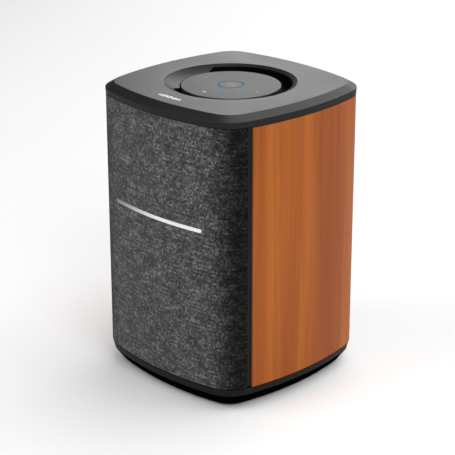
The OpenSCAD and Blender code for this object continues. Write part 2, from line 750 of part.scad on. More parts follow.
module wire(route, r) {
    sides = 8;
    c = path(route, 5);
    n = len(c);
    dir = [for (i = [0:n - 1]) unit(c[min(i + 1, n - 1)] - c[max(i - 1, 0)])];
    points = [for (i = [0:n - 1]) let (u = unit(cross(dir[i], [0.31, 0.17, 0.93])), v = cross(dir[i], u))
        for (k = [0:sides - 1]) c[i] + r * (cos(360 * k / sides) * u + sin(360 * k / sides) * v)];
    walls = [for (i = [0:n - 2]) for (k = [0:sides - 1])
        let (a = i * sides + k, b = i * sides + (k + 1) % sides)
        each [[a, b, a + sides], [b, b + sides, a + sides]]];
    ends = [[for (k = [0:sides - 1]) sides - 1 - k], [for (k = [0:sides - 1]) (n - 1) * sides + k]];
    polyhedron(points = points, faces = concat(walls, ends), convexity = 8);
}

// Each lead runs as a pair, from its connector on the main board to the driver
lead_shift = [[0.5, 0, 2.4], [1.8, 0, -1.5]];
woofer_lead = [
    [-26, 39.4, 85], [-28, 33, 85], [-36, 24, 90], [-42, 8, 98],
    [-38, -14, 104], [-28, -30, 106], [-20, -36, 104]
];
tweeter_lead = [
    [12, 39.4, 85], [14, 32, 86], [30, 22, 98], [38, 8, 122],
    [30, -14, 142], [22, -30, 146], [16, -39, 148]
];
leads = [woofer_lead, tweeter_lead];
module driver_wires() color("firebrick") for (i = [0, 1]) for (s = [0, 1])
    wire([for (p = leads[i]) p + s * lead_shift[i]], 0.9);

module damping_foam() color("gray") for (s = [-1, 1]) {
    x0 = 48;
    x1 = 56;
    box(min(s * x0, s * x1), max(s * x0, s * x1), -30, 36, 40, 165);
}

top_cover();
front_mark();
touch_disc();
touch_icons();
light_ring();
touch_board();
disc_carrier();
slot_channel();
top_gasket();
acoustic_lid();
cabinet_shell();
front_baffle();
cabinet_screws();
grille_frame();
grille_fabric();
grille_grommets();
light_bar();
light_guide();
light_board();
wood_panel_left();
wood_panel_right();
trim_strips();
rear_panel();
rear_panel_screws();
pairing_button();
stereo_switch();
control_board();
rear_switches();
ac_inlet();
inlet_pins();
port_tube();
cabinet_floor();
base_gasket();
base_cover();
base_screws();
rubber_feet();
woofer_basket();
woofer_gasket();
woofer_surround();
woofer_cone();
woofer_dust_cap();
woofer_coil();
woofer_spider();
woofer_magnet();
woofer_yoke();
woofer_top_plate();
driver_screws();
tweeter_faceplate();
tweeter_dome();
tweeter_magnet();
tweeter_yoke();
main_board();
power_board();
heat_sink();
wifi_module();
capacitors();
transformer();
board_screws();
driver_wires();
damping_foam();
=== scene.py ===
"""Looks of the smart speaker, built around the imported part.

Metres, in the part's own frame: +Z up, the cloth front faces -Y, the feet stand on z = 0.
"""
import json
from math import acos, asin, atan2, cos, pi, radians, sin, sqrt

import bmesh
import bpy
from mathutils import Matrix, Vector


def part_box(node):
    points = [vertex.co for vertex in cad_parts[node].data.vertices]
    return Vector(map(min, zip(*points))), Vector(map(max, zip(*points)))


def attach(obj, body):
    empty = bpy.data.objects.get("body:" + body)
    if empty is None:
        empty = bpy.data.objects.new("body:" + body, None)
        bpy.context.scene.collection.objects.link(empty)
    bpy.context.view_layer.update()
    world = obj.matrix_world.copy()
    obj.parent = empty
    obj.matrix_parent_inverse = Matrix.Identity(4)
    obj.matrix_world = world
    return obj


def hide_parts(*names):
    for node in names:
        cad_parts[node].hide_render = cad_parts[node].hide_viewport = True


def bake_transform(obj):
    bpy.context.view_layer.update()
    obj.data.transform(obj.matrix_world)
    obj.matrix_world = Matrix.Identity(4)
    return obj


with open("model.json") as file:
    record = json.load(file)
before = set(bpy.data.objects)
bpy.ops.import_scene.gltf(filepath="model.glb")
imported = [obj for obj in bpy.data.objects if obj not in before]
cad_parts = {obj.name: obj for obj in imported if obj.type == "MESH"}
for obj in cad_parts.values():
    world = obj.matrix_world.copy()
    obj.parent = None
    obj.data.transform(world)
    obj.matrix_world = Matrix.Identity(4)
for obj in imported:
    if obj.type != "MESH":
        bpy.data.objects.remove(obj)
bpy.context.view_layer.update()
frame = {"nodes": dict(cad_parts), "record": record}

# ---- sizes

MM = 0.001
HOME = "housing"
ARC = 4  # steps in a rounded edge

# The outline is a square with bowed sides; insets are measured inwards from it
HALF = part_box("wood_panel_right")[1].x
SIDE_R = 209 * MM
CORNER_R = 22.4 * MM
SIDE_C = SIDE_R - HALF
BOW = acos(SIDE_C / (sqrt(2) * (SIDE_R - CORNER_R))) - pi / 4
CORNER_C = (SIDE_R - CORNER_R) * sin(BOW)

# Top cover: a shell with a chamfer round its edge and a boss under the recess
TOP_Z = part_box("top_cover")[1].z
COVER_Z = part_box("top_gasket")[1].z
COVER_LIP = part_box("top_cover")[1].x - HALF
CHAMFER_H = 3.4 * MM
CHAMFER_IN = 5.5 * MM
COVER_WALL = 4 * MM
COVER_SKIN = 2.4 * MM
BOSS_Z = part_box("slot_channel")[1].z
BOSS_R = 45 * MM

# Recess round the touch disc: a dish out to DISH_R with an arc slot inside SLOT_R, which a bridge closes
DISC_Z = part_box("touch_disc")[1].z
DISC_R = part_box("touch_disc")[1].x
DISC_GAP = 0.4 * MM
DISC_RISE = 0.5 * MM
DISH_R = 43.4 * MM
SLOT_R = 40.2 * MM
RING_IN = 7.5 * MM
BRIDGE = radians(199.5)
BRIDGE_IN = radians(36)
BRIDGE_OUT = radians(47)

# Body, from the front corner to the rear: cloth, trim strip, wooden cheek and rear panel
BODY_Z0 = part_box("grille_fabric")[0].z
BODY_Z1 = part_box("grille_fabric")[1].z
CLOTH_T = 0.9 * MM
CLOTH_END_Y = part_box("grille_fabric")[1].y
TRIM_END_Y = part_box("trim_strips")[1].y
SKIN_IN = 5 * MM
CHEEK_END_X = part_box("wood_panel_right")[0].x
PANEL_END_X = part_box("rear_panel")[1].x
REAR_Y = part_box("rear_panel")[1].y

# Rear fittings; the inlet's sizes are half its width and half its height
PORT_TUBE_R = 16 * MM
INLET_BODY = (12 * MM, 7.5 * MM)
INLET_FLANGE = (17 * MM, 10 * MM)
INLET_SEAT_Y = 65.8 * MM
REAR_HEAD_R = 2.8 * MM
REAR_HEAD_H = 1.5 * MM

BAR_LOW, BAR_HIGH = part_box("light_bar")

# Base: the screws' posts and the feet
BASE_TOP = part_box("base_cover")[1].z
FOOT_R = 7 * MM
BASE_POSTS = [(44 * MM, 0), (-44 * MM, 0), (0, 44 * MM), (0, -44 * MM)]


# ---- outline

def outline(turn, inset):
    """The point of the offset outline whose outward normal points in direction turn."""
    quarter = round(turn / (pi / 2))
    local = turn - quarter * pi / 2
    if abs(local) <= BOW:
        x, y, r = -SIDE_C, 0, SIDE_R - inset
    else:
        x, y, r = CORNER_C, CORNER_C if local > 0 else -CORNER_C, CORNER_R - inset
    return Matrix.Rotation(quarter * pi / 2, 2) @ Vector((x + r * cos(local), y + r * sin(local)))


def reach(angle, inset):
    """The distance from the axis to the offset outline, in one direction from the axis."""
    local = (angle + pi / 4) % (pi / 2) - pi / 4
    c, s = cos(local), sin(local)
    side = sqrt((SIDE_R - inset) ** 2 - (SIDE_C * s) ** 2) - SIDE_C * c
    if abs(atan2(side * s, side * c + SIDE_C)) <= BOW:
        return side
    along = CORNER_C * (c + abs(s))
    return along + sqrt((CORNER_R - inset) ** 2 - 2 * CORNER_C ** 2 + along ** 2)


def turn_steps(start, end, step=1.2 * MM):
    """Directions from start to end, with the length along the outline at each one."""
    out, length = [(start, 0.0)], 0.0
    while out[-1][0] < end - 1e-9:
        turn = out[-1][0]
        local = turn - round(turn / (pi / 2)) * pi / 2
        on_side = -BOW - 1e-9 <= local < BOW - 1e-9
        radius = SIDE_R if on_side else CORNER_R
        quarter = round(turn / (pi / 2)) * pi / 2
        stop = quarter + BOW if on_side else (quarter - BOW if local < 0 else quarter + pi / 2 - BOW)
        following = min(turn + step / radius, stop, end)
        length += radius * (following - turn)
        out.append((following, length))
    return out


def polar(r, angle, z):
    return Vector((r * cos(angle), r * sin(angle), z))


def quarter_turn(steps):
    """Angles from 0 to a right angle."""
    return [pi / 2 * k / steps for k in range(steps + 1)]


def centre_xz(box):
    """The middle of a node's box, seen along Y."""
    return (box[0].x + box[1].x) / 2, (box[0].z + box[1].z) / 2


def plug(r, low, high):
    """The profile of a plain cylinder."""
    return [(0, low), (r, low), (r, high), (0, high)]


def soft_rim(r, z, edge):
    """A turned shape's rounded outer corner, from (r, z - edge) up to (r - edge, z)."""
    return [(r - edge * (1 - cos(a)), z - edge * (1 - sin(a))) for a in quarter_turn(5)]


def rounded(corners):
    """A 2-D line through (x, y, radius) corners, with an arc of that radius at each one."""
    points = []
    for i, (x, y, r) in enumerate(corners):
        here = Vector((x, y))
        if r == 0 or i in (0, len(corners) - 1):
            points.append(here)
            continue
        back = (Vector(corners[i - 1][:2]) - here).normalized()
        ahead = (Vector(corners[i + 1][:2]) - here).normalized()
        half = back.angle(ahead) / 2
        centre = here + (back + ahead).normalized() * (r / sin(half))
        first = here + back * (r * cos(half) / sin(half)) - centre
        last = here + ahead * (r * cos(half) / sin(half)) - centre
        for k in range(ARC + 1):
            t = k / ARC
            points.append(centre + (first * (1 - t) + last * t).normalized() * r)
    return points


# ---- mesh tools

def finish_mesh(name, bm, sharp=35):
    """Turns a bmesh into a smooth-shaded object whose corners over sharp degrees stay crisp."""
    bmesh.ops.remove_doubles(bm, verts=bm.verts, dist=1e-6)
    bmesh.ops.dissolve_degenerate(bm, edges=bm.edges, dist=1e-7)
    bmesh.ops.recalc_face_normals(bm, faces=bm.faces)
    mesh = bpy.data.meshes.new(name)
    bm.to_mesh(mesh)
    bm.free()
    obj = bpy.data.objects.new(name, mesh)
    bpy.context.scene.collection.objects.link(obj)
    shade(obj, sharp)
    return obj


def shade(obj, sharp=35):
    for face in obj.data.polygons:
        face.use_smooth = True
    obj.data.set_sharp_from_angle(angle=radians(sharp))
    if "weighted" not in obj.modifiers:
        weighted = obj.modifiers.new("weighted", "WEIGHTED_NORMAL")
        weighted.keep_sharp = True


def skin(name, rings, looped=False, sharp=35):
    """Joins equal closed rings of points into one closed solid; an unlooped stack is capped."""
    bm = bmesh.new()
    rows = [[bm.verts.new(p) for p in ring] for ring in rings]
    pairs = list(zip(rows, rows[1:])) + ([(rows[-1], rows[0])] if looped else [])
    for low, high in pairs:
        for i in range(len(low)):
            k = (i + 1) % len(low)
            bm.faces.new((low[i], low[k], high[k], high[i]))
    if not looped:
        bm.faces.new(rows[0][::-1])
        bm.faces.new(rows[-1])
    return finish_mesh(name, bm, sharp)


def turned(name, profile, place, steps=96, sharp=35):
    """Turns a closed (radius, height) profile round the local Z axis of place."""
    rings = [[place @ polar(r, 2 * pi * i / steps, h) for r, h in profile] for i in range(steps)]
    return skin(name, rings, looped=True, sharp=sharp)


def pill(half_w, half_h, radius, steps=10):
    """A rectangle with round corners, as 2-D points."""
    points = []
    for k, (sx, sy) in enumerate(((1, 1), (-1, 1), (-1, -1), (1, -1))):
        for i in range(steps + 1):
            a = (k + i / steps) * pi / 2
            x, y = sx * (half_w - radius), sy * (half_h - radius)
            points.append((x + radius * cos(a), y + radius * sin(a)))
    return points


def block(name, half_w, half_h, radius, low, high, place, edge=0.0):
    """A prism with round corners, standing on local Z, with its upper edge rounded too."""
    rings = [(0, low), (0, high - edge)]
    if edge:
        rings += [(edge * (1 - cos(a)), high - edge * (1 - sin(a))) for a in quarter_turn(ARC)[1:]]
    shape = [[place @ Vector((x, y, h)) for x, y in pill(half_w - d, half_h - d, max(radius - d, 1e-5))]
             for d, h in rings]
    return skin(name, shape)


def carve(target, cutters, keep="DIFFERENCE", sharp=35):
    """Applies boolean operations to target and removes the cutters."""
    for cutter in cutters:
        cutter.modifiers.clear()
        change = target.modifiers.new("carve", "BOOLEAN")
        change.operation, change.solver, change.object = keep, "EXACT", cutter
        while target.modifiers[0] != change:
            target.modifiers.move(len(target.modifiers) - 1, 0)
        if "weighted" in target.modifiers:
            target.modifiers.remove(target.modifiers["weighted"])
        graph = bpy.context.evaluated_depsgraph_get()
        mesh = bpy.data.meshes.new_from_object(target.evaluated_get(graph))
        target.modifiers.clear()
        target.data = mesh
        bpy.data.objects.remove(cutter)
    shade(target, sharp)
    return target


def joined(name, parts):
    """Several separate closed shapes as one object."""
    bm = bmesh.new()
    for part in parts:
        bm.from_mesh(part.data)
        bpy.data.objects.remove(part)
    return finish_mesh(name, bm)


def edge_steps(length, radius, count):
    """(distance, drop) pairs across a panel whose two edges round off with radius."""
    start = [(radius * (1 - cos(a)), radius * (1 - sin(a))) for a in quarter_turn(ARC)[:-1]]
    middle = [(radius + (length - 2 * radius) * k / count, 0.0) for k in range(count + 1)]
    return start + middle + [(length - d, drop) for d, drop in reversed(start)]


def grid_block(name, front, back, flat, sharp=50):
    """A closed slab between two grids of points; flat holds the front's (u, v) in metres."""
    bm = bmesh.new()
    layer = bm.loops.layers.uv.new("flat")
    columns, rows = len(front), len(front[0])
    face_of = [[[bm.verts.new(p) for p in column] for column in grid] for grid in (front, back)]

    def quad(corners, places):
        try:
            face = bm.faces.new(corners)
        except ValueError:
            return
        for loop, (i, j) in zip(face.loops, places):
            loop[layer].uv = flat[i][j]

    for i in range(columns - 1):
        for j in range(rows - 1):
            places = [(i, j), (i + 1, j), (i + 1, j + 1), (i, j + 1)]
            for side in (0, 1):
                quad([face_of[side][a][b] for a, b in places], places)
    border = [(i, 0) for i in range(columns)] + [(columns - 1, j) for j in range(1, rows)]
    border += [(i, rows - 1) for i in range(columns - 2, -1, -1)] + [(0, j) for j in range(rows - 2, 0, -1)]
    for here, following in zip(border, border[1:] + border[:1]):
        (a, b), (c, d) = here, following
        quad([face_of[0][a][b], face_of[0][c][d], face_of[1][c][d], face_of[1][a][b]],
             [here, following, following, here])
    return finish_mesh(name, bm, sharp)


def wrapped(name, start, end, z0, z1, outer, inner, edge, rows=6):
    """A panel that follows the outline from direction start to end, with rounded edges."""
    steps = turn_steps(start, end)
    length = steps[-1][1]

    def direction(distance):
        for (t0, s0), (t1, s1) in zip(steps, steps[1:]):
            if distance <= s1:
                return t0 + (t1 - t0) * (distance - s0) / (s1 - s0)
        return end

    columns = edge_steps(length, edge, 1)
    between = [(along, 0.0) for _, along in steps if edge * 1.2 < along < length - edge * 1.2]
    columns = columns[:ARC + 1] + between + columns[-ARC - 1:]
    levels = edge_steps(z1 - z0, edge, rows)
    front, back, flat = [], [], []
    for distance, drop in columns:
        turn = direction(distance)
        front.append([(*outline(turn, outer + max(drop, fall)), z0 + h) for h, fall in levels])
        back.append([(*outline(turn, inner), z0 + h) for h, _ in levels])
        flat.append([(distance - length / 2, h) for h, _ in levels])
    return grid_block(name, front, back, flat)


# ---- material tools

def rgb(red, green, blue):
    """An sRGB colour from 0 to 255 as the linear values that shaders take."""
    return (*(((c / 255 + 0.055) / 1.055) ** 2.4 if c > 10 else c / 3295 for c in (red, green, blue)), 1.0)


class Surface:
    """One material, with short calls for the nodes that the materials share."""

    def __init__(self, name, **sockets):
        self.material = bpy.data.materials.new(name)
        self.material.use_nodes = True
        self.tree = self.material.node_tree
        self.shader = self.tree.nodes["Principled BSDF"]
        for socket, value in sockets.items():
            self.shader.inputs[socket.replace("_", " ")].default_value = value

    def node(self, kind, inputs, output=0, **settings):
        made = self.tree.nodes.new("ShaderNode" + kind)
        for key, value in settings.items():
            setattr(made, key, value)
        for socket, value in inputs.items():
            if isinstance(value, bpy.types.NodeSocket):
                self.tree.links.new(value, made.inputs[socket])
            else:
                made.inputs[socket].default_value = value
        return made.outputs[output]

    def drive(self, socket, value):
        self.tree.links.new(value, self.shader.inputs[socket])

    def maths(self, operation, first, second=0.5, third=0.0):
        return self.node("Math", {0: first, 1: second, 2: third}, operation=operation)

    def times(self, first, second=0.5):
        return self.maths("MULTIPLY", first, second)

    def plus(self, first, second):
        return self.maths("ADD", first, second)

    def part(self, vector, index):
        """One component of a vector: 0 for X, 1 for Y and 2 for Z."""
        return self.node("SeparateXYZ", {"Vector": vector}, index)

    def grey(self, value):
        return self.node("CombineColor", {0: value, 1: value, 2: value})

    def spread(self, value, low, high):
        """Maps 0..1 to low..high."""
        return self.node("MapRange", {"Value": value, "To Min": low, "To Max": high})

    def step(self, value, start, end):
        """Maps start..end smoothly to 0..1."""
        return self.node("MapRange", {"Value": value, "From Min": start, "From Max": end},
                         interpolation_type="SMOOTHSTEP")

    def place(self, scale=(1, 1, 1), flat=False):
        """Coordinates on the object in metres, or along a panel's surface, stretched by scale."""
        source = (self.node("UVMap", {}, uv_map="flat") if flat
                  else self.node("TexCoord", {}, output="Object"))
        return self.node("VectorMath", {0: source, 1: scale}, operation="MULTIPLY")

    def noise(self, size, detail=3.0, rough=0.5, at=None, distort=0.0):
        inputs = {"Scale": 1 / size, "Detail": detail, "Roughness": rough, "Distortion": distort,
                  "Vector": at or self.place()}
        return self.node("TexNoise", inputs)

    def fibre_noise(self, across, along, detail, rough=0.5, distort=0.0):
        """Noise on a panel's surface with its own size across and along the panel."""
        at = self.place((1 / across, 1 / along, 1), flat=True)
        return self.noise(1.0, detail, rough, at, distort)

    def cells(self, size, feature="F1", at=None):
        return self.node("TexVoronoi", {"Scale": 1 / size, "Vector": at or self.place()}, feature=feature)

    def ramp(self, value, *stops):
        made = self.node("ValToRGB", {"Fac": value})
        elements = made.node.color_ramp.elements
        for i, (position, colour) in enumerate(stops):
            element = elements[i] if i < 2 else elements.new(position)
            element.position, element.color = position, colour
        return made

    def mix(self, factor, first, second, blend="MIX"):
        inputs = {0: factor, 6: first, 7: second}
        return self.node("Mix", inputs, output=2, data_type="RGBA", blend_type=blend)

    def tone(self, factor, colour, amount):
        """A colour that is darker by amount where factor is 0 and lighter where it is 1."""
        return self.mix(factor, *shades(colour, amount))

    def rough(self, value, low, high):
        """Roughness from low to high as value goes from 0 to 1."""
        self.drive("Roughness", self.spread(value, low, high))

    def bump(self, height, depth, strength=1.0):
        self.drive("Normal", self.node("Bump", {"Height": height, "Distance": depth, "Strength": strength}))

    def worn(self, colour, amount, light=(0.6, 0.6, 0.6, 1)):
        """Lightens outer edges a little, as handling does."""
        point = self.node("NewGeometry", {}, output="Pointiness")
        rub = self.times(self.step(point, 0.52, 0.6), self.noise(4 * MM))
        return self.mix(self.times(rub, amount), colour, light)


def shades(colour, amount):
    """A colour made darker and lighter by amount."""
    return [tuple(min(1, c * k) for c in colour[:3]) + (1,) for k in (1 - amount, 1 + amount)]


# ---- materials

def plastic(name, colour, rough=0.42, grain=0.35 * MM, depth=0.01 * MM, wear=0.12, **sockets):
    """Moulded plastic: flow clouds, a fine eroded texture and slightly rubbed edges."""
    s = Surface(name, **sockets)
    cloud = s.noise(30 * MM, 4)
    fine = s.noise(grain, 2)
    tone = s.tone(cloud, colour, 0.12)
    s.drive("Base Color", s.worn(tone, wear))
    s.rough(s.plus(s.times(cloud), s.times(fine)), rough - 0.08, rough + 0.08)
    s.bump(fine, depth)
    return s.material


def satin_cover(name, colour, rough):
    """Satin moulding: glossier on the flat top and duller and darker in the recess; the arc slot is near
    black, partly its black lining and partly painted shade.
    """
    s = Surface(name)
    cloud, fine = s.noise(30 * MM, 4), s.noise(0.35 * MM, 2)
    up = s.part(s.node("NewGeometry", {}, output="Normal"), 2)
    face, flat = s.step(up, 0.3, 0.8), s.step(up, 0.88, 0.98)
    from_axis = s.node("VectorMath", {0: s.place((1, 1, 0))}, output="Value", operation="LENGTH")
    recess = s.maths("LESS_THAN", from_axis, DISH_R)
    slot = s.times(s.maths("LESS_THAN", from_axis, SLOT_R + 1 * MM), s.maths("SUBTRACT", 1.0, face))
    tone = s.worn(s.tone(cloud, colour, 0.12), 0.1)
    # Darker in the recess round the disc; inside the arc slot the colour goes near black, partly the slot's
    # black lining and partly painted shade.
    tone = s.mix(s.times(recess, 0.4), tone, rgb(8, 8, 9))
    s.drive("Base Color", s.mix(slot, tone, rgb(4, 4, 5)))
    gloss = s.plus(s.spread(face, 0.18, 0.34), s.spread(flat, 0.0, 0.24))
    s.drive("Specular IOR Level", s.times(gloss, s.spread(recess, 1.0, 0.36)))
    s.drive("Roughness", s.plus(s.spread(face, 0.16, 0.0), s.spread(cloud, rough - 0.06, rough + 0.06)))
    s.bump(fine, 0.01 * MM)
    return s.material


def black_moulding(name, colour, rough):
    """Grained black plastic, with painted shade making it dull black where a face looks down."""
    s = Surface(name)
    cloud, fine = s.noise(30 * MM, 4), s.noise(0.6 * MM, 2)
    up = s.part(s.node("NewGeometry", {}, output="Normal"), 2)
    under = s.step(up, -0.1, -0.4)
    # Painted shade on faces that look down: near black colour and no specular.
    s.drive("Base Color", s.mix(under, s.worn(s.tone(cloud, colour, 0.12), 0.04), rgb(4, 4, 4)))
    s.drive("Specular IOR Level", s.spread(under, 0.18, 0.0))
    s.rough(s.plus(s.times(cloud), s.times(fine)), rough - 0.08, rough + 0.08)
    s.bump(fine, 0.02 * MM)
    return s.material


def metal(name, colour, rough=0.35, brushed=(1, 1, 12), depth=0.006 * MM):
    """Plated or bare metal with brushing along one axis and a few dull spots."""
    s = Surface(name, Metallic=1.0)
    lines = s.noise(0.8 * MM, 3, at=s.place(brushed))
    spots = s.noise(6 * MM, 5)
    s.drive("Base Color", s.tone(spots, colour, 0.15))
    s.rough(s.times(lines, spots), rough - 0.05, rough + 0.35)
    s.bump(lines, depth)
    return s.material


def rubber(name, colour, rough=0.75, pore=0.5 * MM, depth=0.03 * MM):
    """Soft matt rubber with bloom and shallow pits."""
    s = Surface(name)
    bloom = s.noise(5 * MM, 5)
    pits = s.cells(pore)
    s.drive("Base Color", s.tone(s.step(bloom, 0.45, 0.75), colour, 0.3))
    s.rough(bloom, rough - 0.1, rough + 0.1)
    s.bump(pits, depth)
    return s.material


def foam(name, colour, cell=0.9 * MM, depth=0.3 * MM):
    """Open or closed cells with darker hollows."""
    s = Surface(name)
    hollow = s.cells(cell)
    patches = s.noise(12 * MM, 4)
    tone = s.tone(patches, colour, 0.25)
    s.drive("Base Color", s.mix(s.step(hollow, 0.1, 0.6), shades(colour, 0.6)[0], tone))
    s.rough(patches, 0.85, 1.0)
    s.bump(s.maths("SUBTRACT", 1.0, hollow), depth)
    return s.material


def pulp(name, colour, depth=0.05 * MM):
    """Pressed paper fibres under a thin coat."""
    s = Surface(name)
    long_way = s.noise(1.2 * MM, 5, at=s.place((1, 1, 5)))
    cross_way = s.noise(1.2 * MM, 5, at=s.place((5, 1, 1)))
    fibres = s.maths("MAXIMUM", long_way, cross_way)
    s.drive("Base Color", s.tone(s.step(fibres, 0.5, 0.8), colour, 0.35))
    s.rough(fibres, 0.6, 0.9)
    s.bump(fibres, depth)
    return s.material


def threads(name, colour, pitch=0.5 * MM, gloss=0.7):
    """A plain technical cloth, woven square in the plane across Y."""
    s = Surface(name, Sheen_Weight=0.2)
    across = s.place((pi / pitch, 1, pi / pitch))
    warp, weft = (s.maths("ABSOLUTE", s.maths("SINE", s.part(across, k))) for k in (0, 2))
    lift = s.times(warp, weft)
    s.drive("Base Color", s.tone(lift, colour, 0.4))
    s.rough(s.noise(3 * MM), gloss - 0.1, gloss + 0.15)
    s.bump(lift, 0.2 * MM)
    return s.material


def circuit(name, colour, copper):
    """Solder mask over copper tracks."""
    s = Surface(name, Coat_Weight=0.4, Coat_Roughness=0.2)
    tracks = s.node("TexBrick", {"Vector": s.place((1, 0.3, 1)), "Scale": 1.0, "Mortar Size": 0.35 * MM,
                                 "Brick Width": 9 * MM, "Row Height": 2.2 * MM, "Color1": colour,
                                 "Color2": shades(colour, 0.25)[1], "Mortar": copper})
    s.drive("Base Color", s.mix(s.noise(8 * MM, 4), tracks, shades(colour, 0.3)[0]))
    s.rough(s.noise(2 * MM), 0.25, 0.5)
    s.bump(s.node("RGBToBW", {"Color": tracks}), 0.04 * MM)
    return s.material


def wound(name, colour, wire=0.3 * MM):
    """Enamelled wire in close turns round the Y axis."""
    s = Surface(name, Metallic=0.7)
    turns = s.node("TexWave", {"Vector": s.place(), "Scale": 1 / (2 * pi * wire), "Distortion": 0.4,
                               "Detail": 2.0}, 1, bands_direction="Y")
    s.drive("Base Color", s.tone(turns, colour, 0.4))
    s.rough(s.noise(2 * MM), 0.25, 0.5)
    s.bump(turns, 0.1 * MM)
    return s.material


def ceramic(name, colour):
    """Sintered ferrite: dense, slightly chipped and dusty."""
    s = Surface(name)
    chips = s.cells(3 * MM)
    dust = s.noise(9 * MM, 6)
    s.drive("Base Color", s.tone(s.step(dust, 0.4, 0.8), colour, 0.4))
    s.rough(dust, 0.5, 0.8)
    s.bump(chips, 0.05 * MM)
    return s.material


def printed(name, colour, front=None):
    """An opaque ink print with a slightly uneven coat; the sign nearest the front may be painted lighter, as
    painted light on that sign.
    """
    s = Surface(name)
    coat = s.noise(0.6 * MM, 4)
    ink = s.tone(coat, colour, 0.1)
    # Painted light: the sign nearest the front gets the lighter front colour.
    if front:
        forward = s.part(s.place(), 1)
        ink = s.mix(s.step(forward, -18 * MM, -22 * MM), ink, front)
    s.drive("Base Color", ink)
    s.rough(coat, 0.35, 0.6)
    s.bump(coat, 0.01 * MM)
    return s.material


def glowing(name, colour, light, strength, rough=0.3, **sockets):
    """A translucent lens lit from behind, brighter where its cloud is thin."""
    s = Surface(name, Emission_Strength=strength, **sockets)
    cloud = s.noise(7 * MM, 3)
    s.drive("Base Color", s.tone(cloud, colour, 0.06))
    s.drive("Emission Color", s.tone(cloud, light, 0.12))
    s.rough(cloud, rough - 0.08, rough + 0.12)
    s.bump(s.noise(0.5 * MM), 0.004 * MM)
    return s.material


def bar_lens(name, far, near):
    """The light bar's milky lens, glowing faintly, with painted shade that dims its colour and glow towards
    its -X end.
    """
    s = Surface(name, Emission_Strength=0.12)
    along = s.part(s.place(), 0)
    cloud = s.noise(7 * MM, 3)
    # Painted shade: colour and glow fade from the near colour at +X to the far colour towards -X.
    shade = s.mix(s.step(along, -44 * MM, 10 * MM), far, near)
    s.drive("Base Color", s.mix(s.times(cloud, 0.12), shade, rgb(120, 121, 124)))
    s.drive("Emission Color", shade)
    s.rough(cloud, 0.22, 0.42)
    s.bump(s.noise(0.5 * MM), 0.004 * MM)
    return s.material


def clear(name, tint):
    """Clear acrylic with faint flow marks."""
    s = Surface(name, Transmission_Weight=0.8, IOR=1.49)
    flow = s.noise(10 * MM, 4)
    s.drive("Base Color", s.tone(flow, tint, 0.05))
    s.rough(flow, 0.05, 0.2)
    s.bump(flow, 0.02 * MM)
    return s.material


def melange_cloth(name, float_w=1.25 * MM, float_h=1.35 * MM):
    """Heathered twill: floats of yarn that step sideways from row to row, under soft streaks and patches,
    with painted shade towards both wrapped corners.
    """
    s = Surface(name, Sheen_Roughness=0.5)
    grid = s.place((1 / float_w, 1 / float_h, 1), flat=True)
    along, up = (s.part(grid, k) for k in (0, 1))
    row = s.maths("FLOOR", up)
    across = s.maths("SUBTRACT", along, s.times(row, 0.4))
    column = s.maths("FLOOR", across)

    def wave(value, turns):
        return s.maths("ABSOLUTE", s.maths("SINE", s.times(value, pi * turns)))

    def random(x, y):
        cell = s.node("CombineXYZ", {"X": x, "Y": y})
        return s.node("TexWhiteNoise", {"Vector": cell}, noise_dimensions="2D")

    def between(factor, first, second):
        return s.node("Mix", {0: factor, 2: first, 3: second}, data_type="FLOAT")

    crown = s.maths("POWER", s.times(wave(across, 1), wave(up, 1)), 0.6)
    over = s.maths("MODULO", s.maths("ABSOLUTE", s.plus(column, row)), 2.0)
    darker_row = s.maths("MODULO", s.maths("ABSOLUTE", row), 2.0)
    each = random(column, row)
    thread = between(over, random(column, 0.5), random(0.5, row))
    plies = between(over, wave(across, 3), wave(up, 3))
    streaks = s.fibre_noise(6 * MM, 2.4 * MM, 3, 0.6)
    patches = s.fibre_noise(14 * MM, 9 * MM, 3, 0.6)
    blend = s.plus(s.times(each, 0.36), s.times(thread, 0.05))
    blend = s.maths("SUBTRACT", blend, s.times(darker_row, 0.05))
    blend = s.plus(blend, s.times(s.plus(streaks, patches), 0.55))
    yarn = s.ramp(blend, (0.3, rgb(16, 16, 18)), (0.6, rgb(56, 56, 57)), (0.82, rgb(94, 94, 93)),
                  (1.0, rgb(135, 135, 133)))
    shade_of = s.times(s.spread(crown, 0.4, 1.15), s.spread(plies, 0.75, 1.1))
    shaded = s.mix(1.0, yarn, s.grey(shade_of), "MULTIPLY")
    # Painted shade: the cloth darkens towards both wrapped corners, with less specular and sheen there.
    from_middle = s.maths("ABSOLUTE", s.part(s.place(flat=True), 0))
    corner_shade = s.step(from_middle, 40 * MM, 67 * MM)
    dim = s.spread(corner_shade, 1.0, 0.14)
    s.drive("Base Color", s.mix(1.0, shaded, s.grey(dim), "MULTIPLY"))
    s.drive("Specular IOR Level", s.spread(corner_shade, 0.2, 0.08))
    s.drive("Sheen Weight", s.spread(corner_shade, 0.15, 0.0))
    s.rough(each, 0.8, 1.0)
    fuzz = s.noise(0.2 * MM, 2)
    relief = s.plus(crown, s.times(s.plus(plies, fuzz), 0.15))
    s.bump(relief, 0.3 * MM, 0.8)
    return s.material


def veneer(name):
    """Straight-grained reddish wood under satin lacquer, with the grain running up."""
    s = Surface(name, Coat_Weight=0.06, Coat_Roughness=0.25, Specular_IOR_Level=0.15)
    bands = s.fibre_noise(19 * MM, 400 * MM, 2, distort=0.3)
    lines = s.fibre_noise(2.2 * MM, 110 * MM, 4, 0.6, distort=0.2)
    pores = s.fibre_noise(0.35 * MM, 9 * MM, 2)
    figure = s.plus(s.times(bands, 0.74), s.times(lines, 0.26))
    tone = s.ramp(figure, (0.3, rgb(128, 60, 15)), (0.45, rgb(146, 73, 20)), (0.56, rgb(160, 84, 26)),
                  (0.7, rgb(180, 101, 36)))
    dark = s.times(s.step(pores, 0.58, 0.7), 0.2)
    s.drive("Base Color", s.mix(dark, tone, rgb(104, 48, 20)))
    s.rough(lines, 0.38, 0.55)
    s.bump(s.maths("SUBTRACT", lines, s.times(pores, 0.6)), 0.03 * MM)
    return s.material


